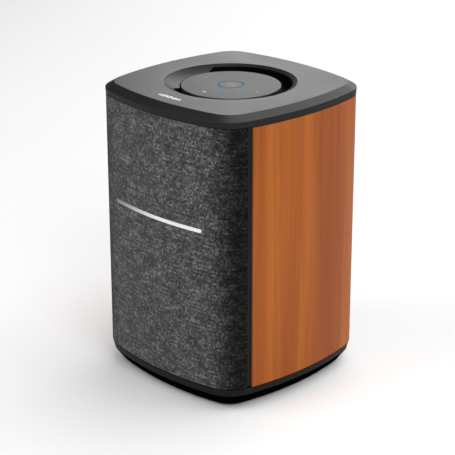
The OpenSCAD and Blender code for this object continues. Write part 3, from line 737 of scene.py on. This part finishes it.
def make_materials():
    """One material for each of the record's material slots."""
    return {
        "satin_plastic": satin_cover("satin_graphite", rgb(25, 25, 26), 0.38),
        "disc_plastic": plastic("disc_graphite", rgb(28, 28, 29), 0.42, Specular_IOR_Level=0.5),
        "black_plastic": black_moulding("black_moulded", rgb(20, 20, 21), 0.5),
        "mark_print": printed("silver_print", rgb(246, 246, 247)),
        # The front sign's near white is painted light.
        "icon_print": printed("sign_print", rgb(110, 112, 114), rgb(235, 236, 238)),
        "ring_lens": glowing("ring_glow", rgb(4, 84, 108), rgb(4, 90, 130), 0.06, 0.45,
                             Specular_IOR_Level=0.1),
        "pcb": circuit("green_board", rgb(16, 84, 44), rgb(90, 120, 50)),
        "foam_seal": foam("seal_foam", rgb(34, 34, 35), 0.5 * MM, 0.1 * MM),
        "abs": plastic("cabinet_abs", rgb(38, 38, 40), 0.55, 0.8 * MM, 0.03 * MM),
        "mdf": plastic("sealed_board", rgb(30, 30, 31), 0.7, 0.5 * MM, 0.05 * MM, 0.25),
        "zinc_screw": metal("zinc", rgb(150, 150, 152), 0.3),
        "black_screw": metal("black_zinc", rgb(48, 48, 50), 0.35),
        "grille_plastic": plastic("grille_moulding", rgb(24, 24, 25), 0.6, 0.8 * MM, 0.03 * MM),
        "grille_cloth": melange_cloth("melange_cloth"),
        # The lens's darker far colour is painted shade at its -X end.
        "light_lens": bar_lens("white_lens", rgb(120, 121, 122), rgb(232, 233, 235)),
        "guide_lens": clear("acrylic_guide", rgb(235, 242, 248)),
        "cheek_wood": veneer("reddish_veneer"),
        "button_plastic": plastic("button_grey", rgb(60, 60, 62), 0.35),
        "nickel": metal("nickel_can", rgb(190, 186, 178), 0.3),
        "brass_pin": metal("brass_pin", rgb(205, 170, 96), 0.22, (12, 1, 1)),
        "foot_rubber": rubber("foot_rubber", rgb(34, 34, 35)),
        "basket_steel": plastic("painted_basket", rgb(30, 30, 32), 0.4, 1.2 * MM, 0.04 * MM, 0.3),
        "surround_rubber": rubber("butyl_roll", rgb(26, 26, 27), 0.6, 1.0 * MM, 0.01 * MM),
        "cone_paper": pulp("cone_pulp", rgb(42, 42, 44)),
        "cap_paper": pulp("cap_pulp", rgb(34, 34, 36)),
        "coil_wire": wound("copper_coil", rgb(196, 112, 60)),
        "spider_cloth": threads("resin_cloth", rgb(190, 150, 88), 0.9 * MM),
        "ferrite": ceramic("ferrite", rgb(58, 58, 60)),
        "motor_steel": metal("motor_zinc", rgb(176, 178, 172), 0.35, (1, 10, 1)),
        "dome_silk": threads("dome_silk", rgb(84, 84, 88), 0.35 * MM, 0.45),
        "sink_aluminium": metal("sink_aluminium", rgb(196, 198, 202), 0.3, (1, 12, 1)),
        "can_steel": metal("tinned_can", rgb(200, 201, 202), 0.25, (10, 1, 1)),
        "cap_sleeve": plastic("capacitor_sleeve", rgb(24, 34, 72), 0.25),
        "winding": wound("winding", rgb(176, 128, 60), 0.5 * MM),
        "wire_pvc": plastic("wire_pvc", rgb(140, 30, 30), 0.35, 0.8 * MM, 0.02 * MM),
        "wadding": foam("acoustic_felt", rgb(120, 120, 122), 1.6 * MM, 0.5 * MM),
    }


def dress_nodes(materials):
    """Gives every carried-over CAD node the material of its own slot."""
    for part in frame["record"]["subparts"]:
        node = frame["nodes"][part["node"]]
        for slot in node.material_slots:
            slot.material = materials[part["material_slot"]]


def settle(piece, slot, *nodes, body=HOME):
    """Gives a new piece its material and its body, and hides the CAD nodes that it stands for.

    A piece that bends between two bodies rides on neither, so its body is None.
    """
    piece.data.materials.clear()
    piece.data.materials.append(MATERIALS[slot])
    if body:
        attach(piece, body)
    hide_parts(*nodes)
    return piece


# ---- top

def dish_z(r):
    """Height of the recess's floor at radius r; it curves up from the disc to the top face."""
    inner, low = DISC_R + DISC_GAP, DISC_Z - DISC_RISE
    return low + (TOP_Z - low) * max(0, (r - inner) / (DISH_R - inner)) ** 1.4


def top_cover():
    """The cover as one ring of sections: recess, arc slot, flat top, chamfer, lip and underside."""
    bridge_columns, slot_columns = 144, 432
    columns = ([(True, -1 + 2 * k / bridge_columns) for k in range(bridge_columns + 1)]
               + [(False, k / slot_columns) for k in range(slot_columns + 1)])
    edge = 0.35 * MM
    groove = 0.28 * MM
    # (inset, height, edge radius) from the flat top over the chamfer to the lip's underside
    outer = rounded([(12 * MM, TOP_Z, 0), (CHAMFER_IN, TOP_Z, 1.5 * MM),
                     (-COVER_LIP, TOP_Z - CHAMFER_H, 0.7 * MM), (0, COVER_Z, 0.4 * MM),
                     (COVER_WALL, COVER_Z, 0)])

    def bridge_half(r):
        t = min(1, (r - DISC_R) / (SLOT_R - DISC_R))
        return BRIDGE_IN + (BRIDGE_OUT - BRIDGE_IN) * t

    def section(in_bridge, share):
        hole = DISC_R + DISC_GAP if in_bridge else SLOT_R

        def ring(r, z):
            if in_bridge:
                return polar(r, BRIDGE + share * bridge_half(r), z)
            return polar(r, BRIDGE + BRIDGE_OUT + share * 2 * (pi - BRIDGE_OUT), z)

        direction = atan2(*ring(DISH_R, 0).yx)
        around = [ring(BOSS_R, TOP_Z - COVER_SKIN), ring(BOSS_R, BOSS_Z), ring(hole, BOSS_Z),
                  ring(hole, dish_z(hole) - edge), ring(hole + edge * 0.3, dish_z(hole) - edge * 0.3)]
        # The dish's floor, with a fine groove round its outer edge
        stops = [hole + edge + (SLOT_R - hole) * k / 6 for k in range(6)]
        stops += [SLOT_R + edge + (DISH_R - groove - SLOT_R - edge) * k / 4 for k in range(5)]
        around += [ring(r, dish_z(r)) for r in stops]
        around += [ring(DISH_R - groove * 0.6, TOP_Z - groove * 1.6),
                   ring(DISH_R + groove * 0.6, TOP_Z - groove * 1.6), ring(DISH_R + groove, TOP_Z)]
        around += [polar(reach(direction, inset), direction, z) for inset, z in outer]
        around += [polar(reach(direction, COVER_WALL), direction, TOP_Z - COVER_SKIN)]
        return around

    cover = skin("cover_shell", [section(*column) for column in columns], looped=True, sharp=28)
    low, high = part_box("top_cover")[0].z, TOP_Z - 2.2 * MM
    hole_r, post_r, post_at = 1.2 * MM, 3.5 * MM, 45 * MM
    tube = [(hole_r, low), (post_r, low), (post_r, high), (hole_r, high)]
    for x in (-post_at, post_at):
        for y in (-post_at, post_at):
            post = turned("cover_post", tube, Matrix.Translation((x, y, 0)), 32)
            carve(cover, [post], "UNION", 28)
    return settle(cover, "satin_plastic", "top_cover")


def touch_disc():
    """A plate with a softly rounded rim and a groove for the glowing ring."""
    ring_in, ring_out = RING_IN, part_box("light_ring")[1].x
    low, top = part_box("touch_disc")[0].z, DISC_Z
    bottom = top - 1 * MM
    profile = [(0, low), (DISC_R, low)] + soft_rim(DISC_R, top, 0.6 * MM)
    profile += [(ring_out, top), (ring_out, bottom), (ring_in, bottom), (ring_in, top), (0, top)]
    plate = turned("touch_plate", profile, Matrix(), 160)
    return settle(plate, "disc_plastic", "touch_disc")


def light_ring():
    low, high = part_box("light_ring")
    r_out, r_in = high.x, RING_IN
    soft = 0.12 * MM
    profile = [(r_in, low.z), (r_out, low.z), (r_out, high.z - soft), (r_out - soft, high.z),
               (r_in + soft, high.z), (r_in, high.z - soft)]
    ring = turned("glow_ring", profile, Matrix(), 96)
    return settle(ring, "ring_lens", "light_ring")


def raised(name, shapes, z, lift=0.04 * MM, sink=0.3 * MM):
    """Thin prints of flat outlines, standing just proud of height z."""
    heights = (z - sink, z + lift)
    return joined(name, [skin("print", [[(x, y, h) for x, y in shape] for h in heights]) for shape in shapes])


def rectangle(x, y, w, h, radius=0.15 * MM):
    return [(x + a, y + b) for a, b in pill(w / 2, h / 2, min(radius, w / 2.1, h / 2.1), 3)]


def touch_signs():
    """Less, more, back, forward, and start or stop in the middle."""
    far, bar, thick = 24 * MM, 3.2 * MM, 0.7 * MM
    shapes = [rectangle(0, -far, bar, thick), rectangle(0, far, bar, thick), rectangle(0, far, thick, bar)]
    arrow = [(-1.4 * MM, -1.5 * MM), (1.2 * MM, 0), (-1.4 * MM, 1.5 * MM)]
    for side in (-1, 1):
        shapes.append([(side * (far + x), y) for x, y in arrow][::side])
        shapes.append(rectangle(side * (far + 1.8 * MM), 0, 0.6 * MM, 3 * MM))
    shapes.append([(x - 1.2 * MM, y) for x, y in arrow])
    shapes += [rectangle(x, 0, thick, 3 * MM) for x in (1.25 * MM, 2.45 * MM)]
    return settle(raised("touch_signs", shapes, DISC_Z), "icon_print", "touch_icons")


def front_mark():
    """A generic mark of rising and falling level bars."""
    low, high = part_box("front_mark")
    middle, width = (low.y + high.y) / 2, 1.3 * MM
    heights = [2.2, 3, 3.8, 3, 3.8, 2.6, 3.4, 2.8, 2.2]
    pitch = (high.x - low.x - width) / (len(heights) - 1)
    first = low.x + width / 2
    shapes = [rectangle(first + i * pitch, middle, width, h * MM) for i, h in enumerate(heights)]
    return settle(raised("level_mark", shapes, TOP_Z), "mark_print", "front_mark")


# ---- sides

def side_turn(y):
    """The outline's direction on the right side at that y."""
    return asin(y / SIDE_R)


def rear_turn(x):
    """The outline's direction on the rear side at that x."""
    return pi / 2 - asin(x / SIDE_R)


def grille_cloth():
    """The front cloth, drawn tight round both corners and tucked in along every edge."""
    start, end = pi + side_turn(-CLOTH_END_Y), 2 * pi + side_turn(CLOTH_END_Y)
    cloth = wrapped("front_cloth", start, end, BODY_Z0, BODY_Z1, 0, CLOTH_T, 0.55 * MM, 8)
    high = (BAR_HIGH.z - BAR_LOW.z) / 2 + 0.15 * MM
    wide = (BAR_HIGH.x - BAR_LOW.x) / 2 + 0.15 * MM
    facing = Matrix.Translation((0, 0, (BAR_LOW.z + BAR_HIGH.z) / 2)) @ Matrix.Rotation(pi / 2, 4, "X")
    carve(cloth, [block("slit", wide, high, high - 1e-5, 40 * MM, 90 * MM, facing)], sharp=50)
    settle(cloth, "grille_cloth", "grille_fabric")
    length = turn_steps(start, end)[-1][1]
    return cloth


def light_bar():
    """A white lens that follows the front's bow, with round ends and a softly crowned face."""
    middle, half_h = (BAR_LOW.z + BAR_HIGH.z) / 2, (BAR_HIGH.z - BAR_LOW.z) / 2
    half_l, crown, inner = BAR_HIGH.x, 0.3 * MM, 3.4 * MM
    proud = -0.35 * MM
    spots = ([-half_l + half_h * (1 - cos(pi / 2 * k / 8)) for k in range(8)]
             + [(-half_l + half_h) + (2 * half_l - 2 * half_h) * k / 40 for k in range(41)])
    spots += [-x for x in reversed(spots[:8])]
    front, back, flat = [], [], []
    for x in spots:
        turn = -pi / 2 + asin(x / SIDE_R)
        into_end = min(1, (half_l - abs(x)) / half_h)
        reach_up = half_h * max(0.02, sqrt(1 - (1 - into_end) ** 2))
        rows = [sin(pi / 2 * k / 6) for k in range(-6, 7)]
        front.append([(*outline(turn, proud + crown * (1 - sqrt(1 - min(1, v * v) * 0.99) * into_end ** 0.5)),
                       middle + reach_up * v) for v in rows])
        back.append([(*outline(turn, inner), middle + reach_up * v) for v in rows])
        flat.append([(x, v * half_h) for v in rows])
    return settle(grid_block("light_strip", front, back, flat), "light_lens", "light_bar")


def both_sides(names, start, end, *sizes):
    """A panel on the right side and its mirror image on the left."""
    return [wrapped(name, a, b, *sizes) for name, a, b in zip(names, (start, pi - end), (end, pi - start))]


def wood_cheeks():
    start, end = side_turn(TRIM_END_Y), rear_turn(CHEEK_END_X)
    low_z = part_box("wood_panel_right")[0].z
    names = ("cheek_right", "cheek_left")
    right, left = both_sides(names, start, end, low_z, BODY_Z1, 0, SKIN_IN, 0.5 * MM, 4)
    settle(right, "cheek_wood", "wood_panel_right")
    settle(left, "cheek_wood", "wood_panel_left")


def trims():
    start, end = side_turn(CLOTH_END_Y), side_turn(TRIM_END_Y)
    names = ("trim_a", "trim_b")
    parts = both_sides(names, start, end, BODY_Z0, BODY_Z1, 1.6 * MM, SKIN_IN, 0.3 * MM, 4)
    return settle(joined("corner_trims", parts), "black_plastic", "trim_strips")


# ---- woofer

def on_woofer(y):
    """Places a shape on the woofer's axis at depth y: its local +Z points out of the cloth front."""
    z = centre_xz(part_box("woofer_cone"))[1]
    return Matrix.Translation((0, y, z)) @ Matrix.Rotation(pi / 2, 4, "X")


def landings():
    """Where each bending ring is glued to the basket, by node."""
    stroke = next(j for j in frame["record"]["behaviour"]["joints"] if j["name"] == "woofer_stroke")
    return {soft["node"]: soft["fixed_end_y_m"] for soft in stroke["deforming_nodes"]}


def bending_ring(name, slot, node, profile):
    """Turns a sheet whose inner edge moves with the cone, as separate sectors that ride on no body."""
    sectors, steps = 12, 8
    place = on_woofer(landings()[node])
    for k in range(sectors):
        middle = 2 * pi * k / sectors
        angles = [middle + pi / sectors * (2 * i / steps - 1) for i in range(steps + 1)]
        rings = [[place @ polar(r, a, h) for r, h in profile] for a in angles]
        piece = skin(f"{name}_{k + 1:02d}", rings)
        settle(piece, slot, node, body=None)
        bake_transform(piece)


def woofer_spider():
    """The corrugated centring disc behind the cone."""
    coil_r, wave_end, rim_r = 12.65 * MM, 28.2 * MM, 33 * MM
    waves, height, thick, steps = 4, 0.8 * MM, 0.4 * MM, 64
    top = [(coil_r + (wave_end - coil_r) * u, height * sin(2 * pi * waves * u) * sin(pi * u))
           for u in (i / steps for i in range(steps + 1))]
    top.append((rim_r, 0))
    profile = top + [(r, h - thick) for r, h in reversed(top)]
    bending_ring("spider", "spider_cloth", "woofer_spider", profile)


def woofer_surround():
    """The half-roll rubber surround between the cone's rim and the basket."""
    inner_r, outer_r, roll_c, roll_r = 34.6 * MM, 43.3 * MM, 38.9 * MM, 2.5 * MM
    thick, steps = 0.5 * MM, 24
    turns = [pi * i / steps for i in range(steps + 1)]
    top = [(roll_c - roll_r * cos(a), thick + roll_r * sin(a)) for a in turns]
    under = [(roll_c + (roll_r - thick) * cos(a), (roll_r - thick) * sin(a)) for a in turns]
    profile = [(inner_r, thick)] + top + [(outer_r, thick), (outer_r, 0)] + under + [(inner_r, 0)]
    bending_ring("surround", "surround_rubber", "woofer_surround", profile)


# ---- rear

def on_rear(x, z, y=0.0):
    """Places a shape on the rear: its local +Z points out along +Y."""
    return Matrix.Translation((x, y, z)) @ Matrix.Rotation(-pi / 2, 4, "X")


def rear_screw_places():
    low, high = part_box("rear_panel_screws")
    xs, zs = (low.x + REAR_HEAD_R, high.x - REAR_HEAD_R), (low.z + REAR_HEAD_R, high.z - REAR_HEAD_R)
    return [(x, z) for x in xs for z in zs]


def rear_panel():
    """The moulded rear panel, with seats for the port, the inlet, the controls and its screws."""
    start, end = rear_turn(PANEL_END_X), rear_turn(-PANEL_END_X)
    panel = wrapped("rear_shell", start, end, BODY_Z0, BODY_Z1, HALF - REAR_Y, SKIN_IN, 0.9 * MM, 44)
    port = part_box("port_tube")
    port_at, inlet_at = centre_xz(port), centre_xz(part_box("ac_inlet"))
    button_at, knob_at = centre_xz(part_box("pairing_button")), centre_xz(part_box("stereo_switch"))
    port_r, play = (port[1].x - port[0].x) / 2, 0.1 * MM
    body_w, body_h = INLET_BODY
    flange_w, flange_h = INLET_FLANGE
    cuts = [turned("cut_port", plug(port_r + play, 0, 20 * MM), on_rear(*port_at, port[1].y - 2 * MM), 96),
            turned("cut_bore", plug(PORT_TUBE_R + play / 2, 0, 40 * MM), on_rear(*port_at, 50 * MM), 96),
            block("cut_inlet", body_w + play, body_h + play, 1 * MM, 0, 40 * MM, on_rear(*inlet_at, 50 * MM)),
            block("cut_flange", flange_w + 2 * play, flange_h + 2 * play, 2.7 * MM, 0, 20 * MM,
                  on_rear(*inlet_at, INLET_SEAT_Y)),
            turned("cut_button", plug(4.25 * MM, 0, 30 * MM), on_rear(*button_at, 55 * MM), 64),
            block("cut_slot", 4.5 * MM, 2.2 * MM, 0.6 * MM, 0, 30 * MM, on_rear(*knob_at, 55 * MM))]
    head_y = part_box("rear_panel_screws")[1].y - REAR_HEAD_H
    # A hole for the shank and a countersunk seat for the head
    sink = [(0, -10 * MM), (1.5 * MM, -10 * MM), (1.5 * MM, 0), (3 * MM, 0), (3 * MM, 2 * MM),
            (3.4 * MM, 2.6 * MM), (3.4 * MM, 9 * MM), (0, 9 * MM)]
    cuts += [turned("cut_screw", sink, on_rear(x, z, head_y), 40) for x, z in rear_screw_places()]
    carve(panel, cuts)
    return settle(panel, "black_plastic", "rear_panel")


def port_flare():
    """The reflex port: a straight bore with a smooth flare at each mouth and a seated flange."""
    low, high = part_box("port_tube")
    bore, lip, flange_r = 13.5 * MM, 2.4 * MM, (high.x - low.x) / 2
    length, flange = high.y - low.y, 2 * MM
    edge = 0.4 * MM
    flare = [(bore + lip * (1 - sin(a)), lip * (1 - cos(a))) for a in quarter_turn(10)]
    rim = rounded([(bore + lip, length, 0), (flange_r, length, edge), (flange_r, length - flange, 0)])
    profile = flare + [(r, length - h) for r, h in reversed(flare)] + list(map(tuple, rim[1:]))
    profile += [(PORT_TUBE_R, length - flange), (PORT_TUBE_R, 0)]
    port = turned("port_flare", profile, on_rear(*centre_xz((low, high)), low.y), 128)
    return settle(port, "black_plastic", "port_tube")


def mains_inlet():
    """The two-pin socket: a figure-eight well in a round-cornered flange."""
    low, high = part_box("ac_inlet")
    x, z = centre_xz((low, high))
    pin_x, hole_r, well_r, well_y = 4.3 * MM, 1.22 * MM, 4.1 * MM, 53 * MM
    seat_y, face_y, past_y = INLET_SEAT_Y, high.y, high.y + 2 * MM
    body = block("inlet_socket", *INLET_BODY, 0.8 * MM, low.y, seat_y + 0.2 * MM, on_rear(x, z))
    flange = block("inlet_flange", *INLET_FLANGE, 2.5 * MM, seat_y, face_y, on_rear(x, z), 0.7 * MM)
    carve(body, [flange], "UNION")
    rim_r = well_r + 0.5 * MM
    well = [(0, well_y), (well_r, well_y), (well_r, face_y - 0.5 * MM), (rim_r, face_y + 0.01 * MM),
            (rim_r, past_y), (0, past_y)]
    sides = [on_rear(x + side * pin_x, z) for side in (-1, 1)]
    cuts = [turned("well", well, side, 64) for side in sides]
    cuts.append(block("well_middle", pin_x, 2.9 * MM, 0.1 * MM, well_y, past_y, on_rear(x, z)))
    cuts += [turned("pin_hole", plug(hole_r, low.y - MM, well_y + MM), side, 32) for side in sides]
    carve(body, cuts)
    settle(body, "black_plastic", "ac_inlet")
    start, tip = (corner.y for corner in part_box("inlet_pins"))
    pin_r, point = 1.18 * MM, 1.4 * MM
    profile = [(0, start), (pin_r, start)]
    profile += [(pin_r * cos(a), tip - point + point * sin(a)) for a in quarter_turn(8)]
    pins = [turned("pin", profile, side, 32) for side in sides]
    return settle(joined("inlet_pins_round", pins), "brass_pin", "inlet_pins")


def controls():
    """The pairing button with a dished cap, and the ribbed stereo switch."""
    low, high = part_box("pairing_button")
    x, z = centre_xz((low, high))
    flange_r = (high.x - low.x) / 2
    cap_r, edge, dish = 4 * MM, 0.6 * MM, 0.35 * MM
    dished = [(r * (cap_r - edge), high.y - dish * (1 - r * r)) for r in (0.9, 0.7, 0.5, 0.3, 0.1, 0)]
    flange_y = 61.9 * MM
    profile = [(0, low.y), (1.5 * MM, low.y), (1.5 * MM, flange_y), (flange_r, flange_y),
               (flange_r, flange_y + 1.2 * MM), (cap_r, flange_y + 1.2 * MM)]
    profile += soft_rim(cap_r, high.y, edge) + dished
    button = turned("button_cap", profile, on_rear(x, z), 96)
    settle(button, "button_plastic", "pairing_button", body="button")

    low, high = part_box("stereo_switch")
    x, z = centre_xz((low, high))
    half_w, half_h = (high.x - low.x) / 2, (high.z - low.z) / 2
    body_y, rib_h = high.y - 0.4 * MM, half_h - 0.15 * MM
    knob = block("switch_knob_cap", half_w, half_h, 0.4 * MM, low.y, body_y, on_rear(x, z), 0.25 * MM)
    for offset in (-1.2 * MM, 0, 1.2 * MM):
        place = on_rear(x + offset, z)
        rib = block("rib", 0.25 * MM, rib_h, 0.1 * MM, high.y - MM, high.y, place, 0.12 * MM)
        carve(knob, [rib], "UNION")
    return settle(knob, "button_plastic", "stereo_switch", body="switch_knob")


def crossed(place, head_r, head_h, shank_r, length):
    """A pan-head screw on local +Z, seated at 0, with a cross recess in its domed head."""
    dome = [(head_r * cos(a) ** 0.7, head_h * (0.45 + 0.55 * sin(a))) for a in quarter_turn(8)]
    profile = [(0, -length), (shank_r * 0.6, -length), (shank_r, -length + 1.5 * shank_r)]
    profile += [(shank_r, 0), (head_r, 0)] + dome
    screw = turned("screw", profile, place, 48)
    arms = [block("arm", head_r * 0.62, head_r * 0.13, 0.05 * MM, head_h * 0.45, head_h * 2,
                  place @ Matrix.Rotation(a, 4, "Z")) for a in (0, pi / 2)]
    return carve(screw, arms)


def rear_screws():
    """Four cross-head screws, each stopped at a turn of its own."""
    head_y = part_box("rear_panel_screws")[1].y - REAR_HEAD_H
    parts = []
    for x, z in rear_screw_places():
        place = on_rear(x, z, head_y) @ Matrix.Rotation(0.3 + x * 40 + z * 9, 4, "Z")
        parts.append(crossed(place, REAR_HEAD_R, REAR_HEAD_H, 1.2 * MM, 10.2 * MM))
    return settle(joined("rear_screw_set", parts), "black_screw", "rear_panel_screws")


# ---- base

def base_cover():
    """The dished base: a rounded waist line, a flat underside, screw wells and foot seats."""
    low_z, wall_in, floor_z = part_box("base_cover")[0].z, 11 * MM, 4 * MM
    # (inset, height, edge radius) from the underside past the undercut and the waist to the rim
    outer = rounded([(30 * MM, low_z, 0), (7.87 * MM, low_z, 1.2 * MM), (1.5 * MM, 10 * MM, 1.6 * MM),
                     (0.3 * MM, BASE_TOP, 0.4 * MM), (3 * MM, BASE_TOP, 0)])
    inner = [(wall_in, BASE_TOP), (wall_in, floor_z)]
    steps = 576
    rings = []
    for k in range(steps):
        a = 2 * pi * k / steps
        ring = [polar(0, a, low_z)] + [polar(reach(a, d), a, z) for d, z in outer]
        rings.append(ring + [polar(reach(a, d), a, z) for d, z in inner] + [polar(0, a, floor_z)])
    base = skin("base_shell", rings, looped=True, sharp=28)
    for x, y in BASE_POSTS:
        post = turned("post", plug(5.2 * MM, 3.9 * MM, BASE_TOP), Matrix.Translation((x, y, 0)), 48)
        carve(base, [post], "UNION", 28)
    # The screw's head sits on a shoulder 8 mm up, and its shank goes on through the post
    well = [(0, 0), (3.9 * MM, 0), (3.5 * MM, low_z + 0.4 * MM), (3.5 * MM, 8 * MM), (1.7 * MM, 8 * MM),
            (1.7 * MM, 20 * MM), (0, 20 * MM)]
    cuts = [turned("screw_well", well, Matrix.Translation((x, y, 0)), 48) for x, y in BASE_POSTS]
    seat = plug(FOOT_R + 0.1 * MM, 0, 2 * MM)
    cuts += [turned("foot_seat", seat, Matrix.Translation((x, y, 0)), 64) for x, y in foot_places()]
    carve(base, cuts, sharp=28)
    return settle(base, "black_plastic", "base_cover")


def foot_places():
    low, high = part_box("rubber_feet")
    return [(x, y) for x in (low.x + FOOT_R, high.x - FOOT_R) for y in (low.y + FOOT_R, high.y - FOOT_R)]


def feet():
    """Round feet with a soft edge and two shallow grip grooves underneath."""
    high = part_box("rubber_feet")[1].z
    groove, edge = 0.2 * MM, 0.8 * MM
    under = [(0, 0)]
    for r in (2.2 * MM, 4.3 * MM):
        under += [(r - groove, 0), (r, groove), (r + groove, 0)]
    rim = [(FOOT_R - edge * (1 - sin(a)), edge * (1 - cos(a))) for a in quarter_turn(5)]
    profile = under + rim + [(FOOT_R, high), (0, high)]
    parts = [turned("foot", profile, Matrix.Translation((x, y, 0)), 72) for x, y in foot_places()]
    return settle(joined("feet_set", parts), "foot_rubber", "rubber_feet")


def base_screws():
    low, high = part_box("base_screws")
    seat = low.z + 2 * MM
    head_down = Matrix.Rotation(pi, 4, "X")
    parts = [crossed(Matrix.Translation((x, y, seat)) @ head_down, 3.2 * MM, 2 * MM, 1.5 * MM, high.z - seat)
             for x, y in BASE_POSTS]
    return settle(joined("base_screw_set", parts), "black_screw", "base_screws")


# ---- studio

def floor():
    half = 6.0
    mesh = bpy.data.meshes.new("floor")
    corners = [(-half, -half, 0), (half, -half, 0), (half, half, 0), (-half, half, 0)]
    mesh.from_pydata(corners, [], [(0, 1, 2, 3)])
    obj = bpy.data.objects.new("floor", mesh)
    bpy.context.scene.collection.objects.link(obj)
    s = Surface("pale_floor")
    s.drive("Base Color", s.mix(s.noise(0.4), rgb(246, 246, 246), rgb(250, 250, 250)))
    s.rough(s.noise(0.1), 0.85, 0.95)
    obj.data.materials.append(s.material)


def aim(name, data, target, azimuth, elevation, distance):
    """Adds a light or camera that looks at target; azimuth 0 is in front, and 90 is at +X."""
    a, e = radians(azimuth), radians(elevation)
    away = Vector((sin(a) * cos(e), -cos(a) * cos(e), sin(e)))
    obj = bpy.data.objects.new(name, data)
    obj.location = Vector(target) + away * distance
    obj.rotation_euler = away.to_track_quat("Z", "Y").to_euler()
    bpy.context.scene.collection.objects.link(obj)
    return obj


def softbox(name, azimuth, elevation, distance, width, height, power):
    """A white rectangular light that looks at the body."""
    light = bpy.data.lights.new(name, "AREA")
    light.shape = "RECTANGLE"
    light.size = width
    light.size_y = height
    light.energy = power
    aim(name, light, (0, 0, 0.1), azimuth, elevation, distance)


def studio():
    scene = bpy.context.scene
    world = bpy.data.worlds.new("studio")
    scene.world = world
    world.use_nodes = True
    sky = world.node_tree.nodes["Background"].inputs
    sky["Color"].default_value = (1, 1, 1, 1)
    sky["Strength"].default_value = 0.11
    scene.view_settings.view_transform = "Standard"
    softbox("front_left", -28, 42, 1.6, 1.0, 1.2, 8.5)
    softbox("right", 62, 30, 1.6, 1.0, 1.3, 14)
    softbox("behind", 205, 24, 1.7, 1.6, 0.7, 8)
    softbox("above", 150, 64, 1.75, 2.0, 2.0, 27)
    floor()


def camera():
    """Looks down on the front right corner from 45.7 degrees round and 21 degrees up."""
    data = bpy.data.cameras.new("camera")
    data.sensor_width = 36
    data.lens = 127.2
    data.shift_x = -0.0112
    target = (0.00076, 0.00077, 0.0971)
    bpy.context.scene.camera = aim("camera", data, target, 45.66, 21.006, 1.0893)


# ---- build

camera()
studio()
MATERIALS = make_materials()
dress_nodes(MATERIALS)
for make in (top_cover, touch_disc, light_ring, touch_signs, front_mark, grille_cloth, light_bar,
             wood_cheeks, trims, woofer_spider, woofer_surround, rear_panel, port_flare, mains_inlet,
             controls, rear_screws, base_cover, feet, base_screws):
    make()
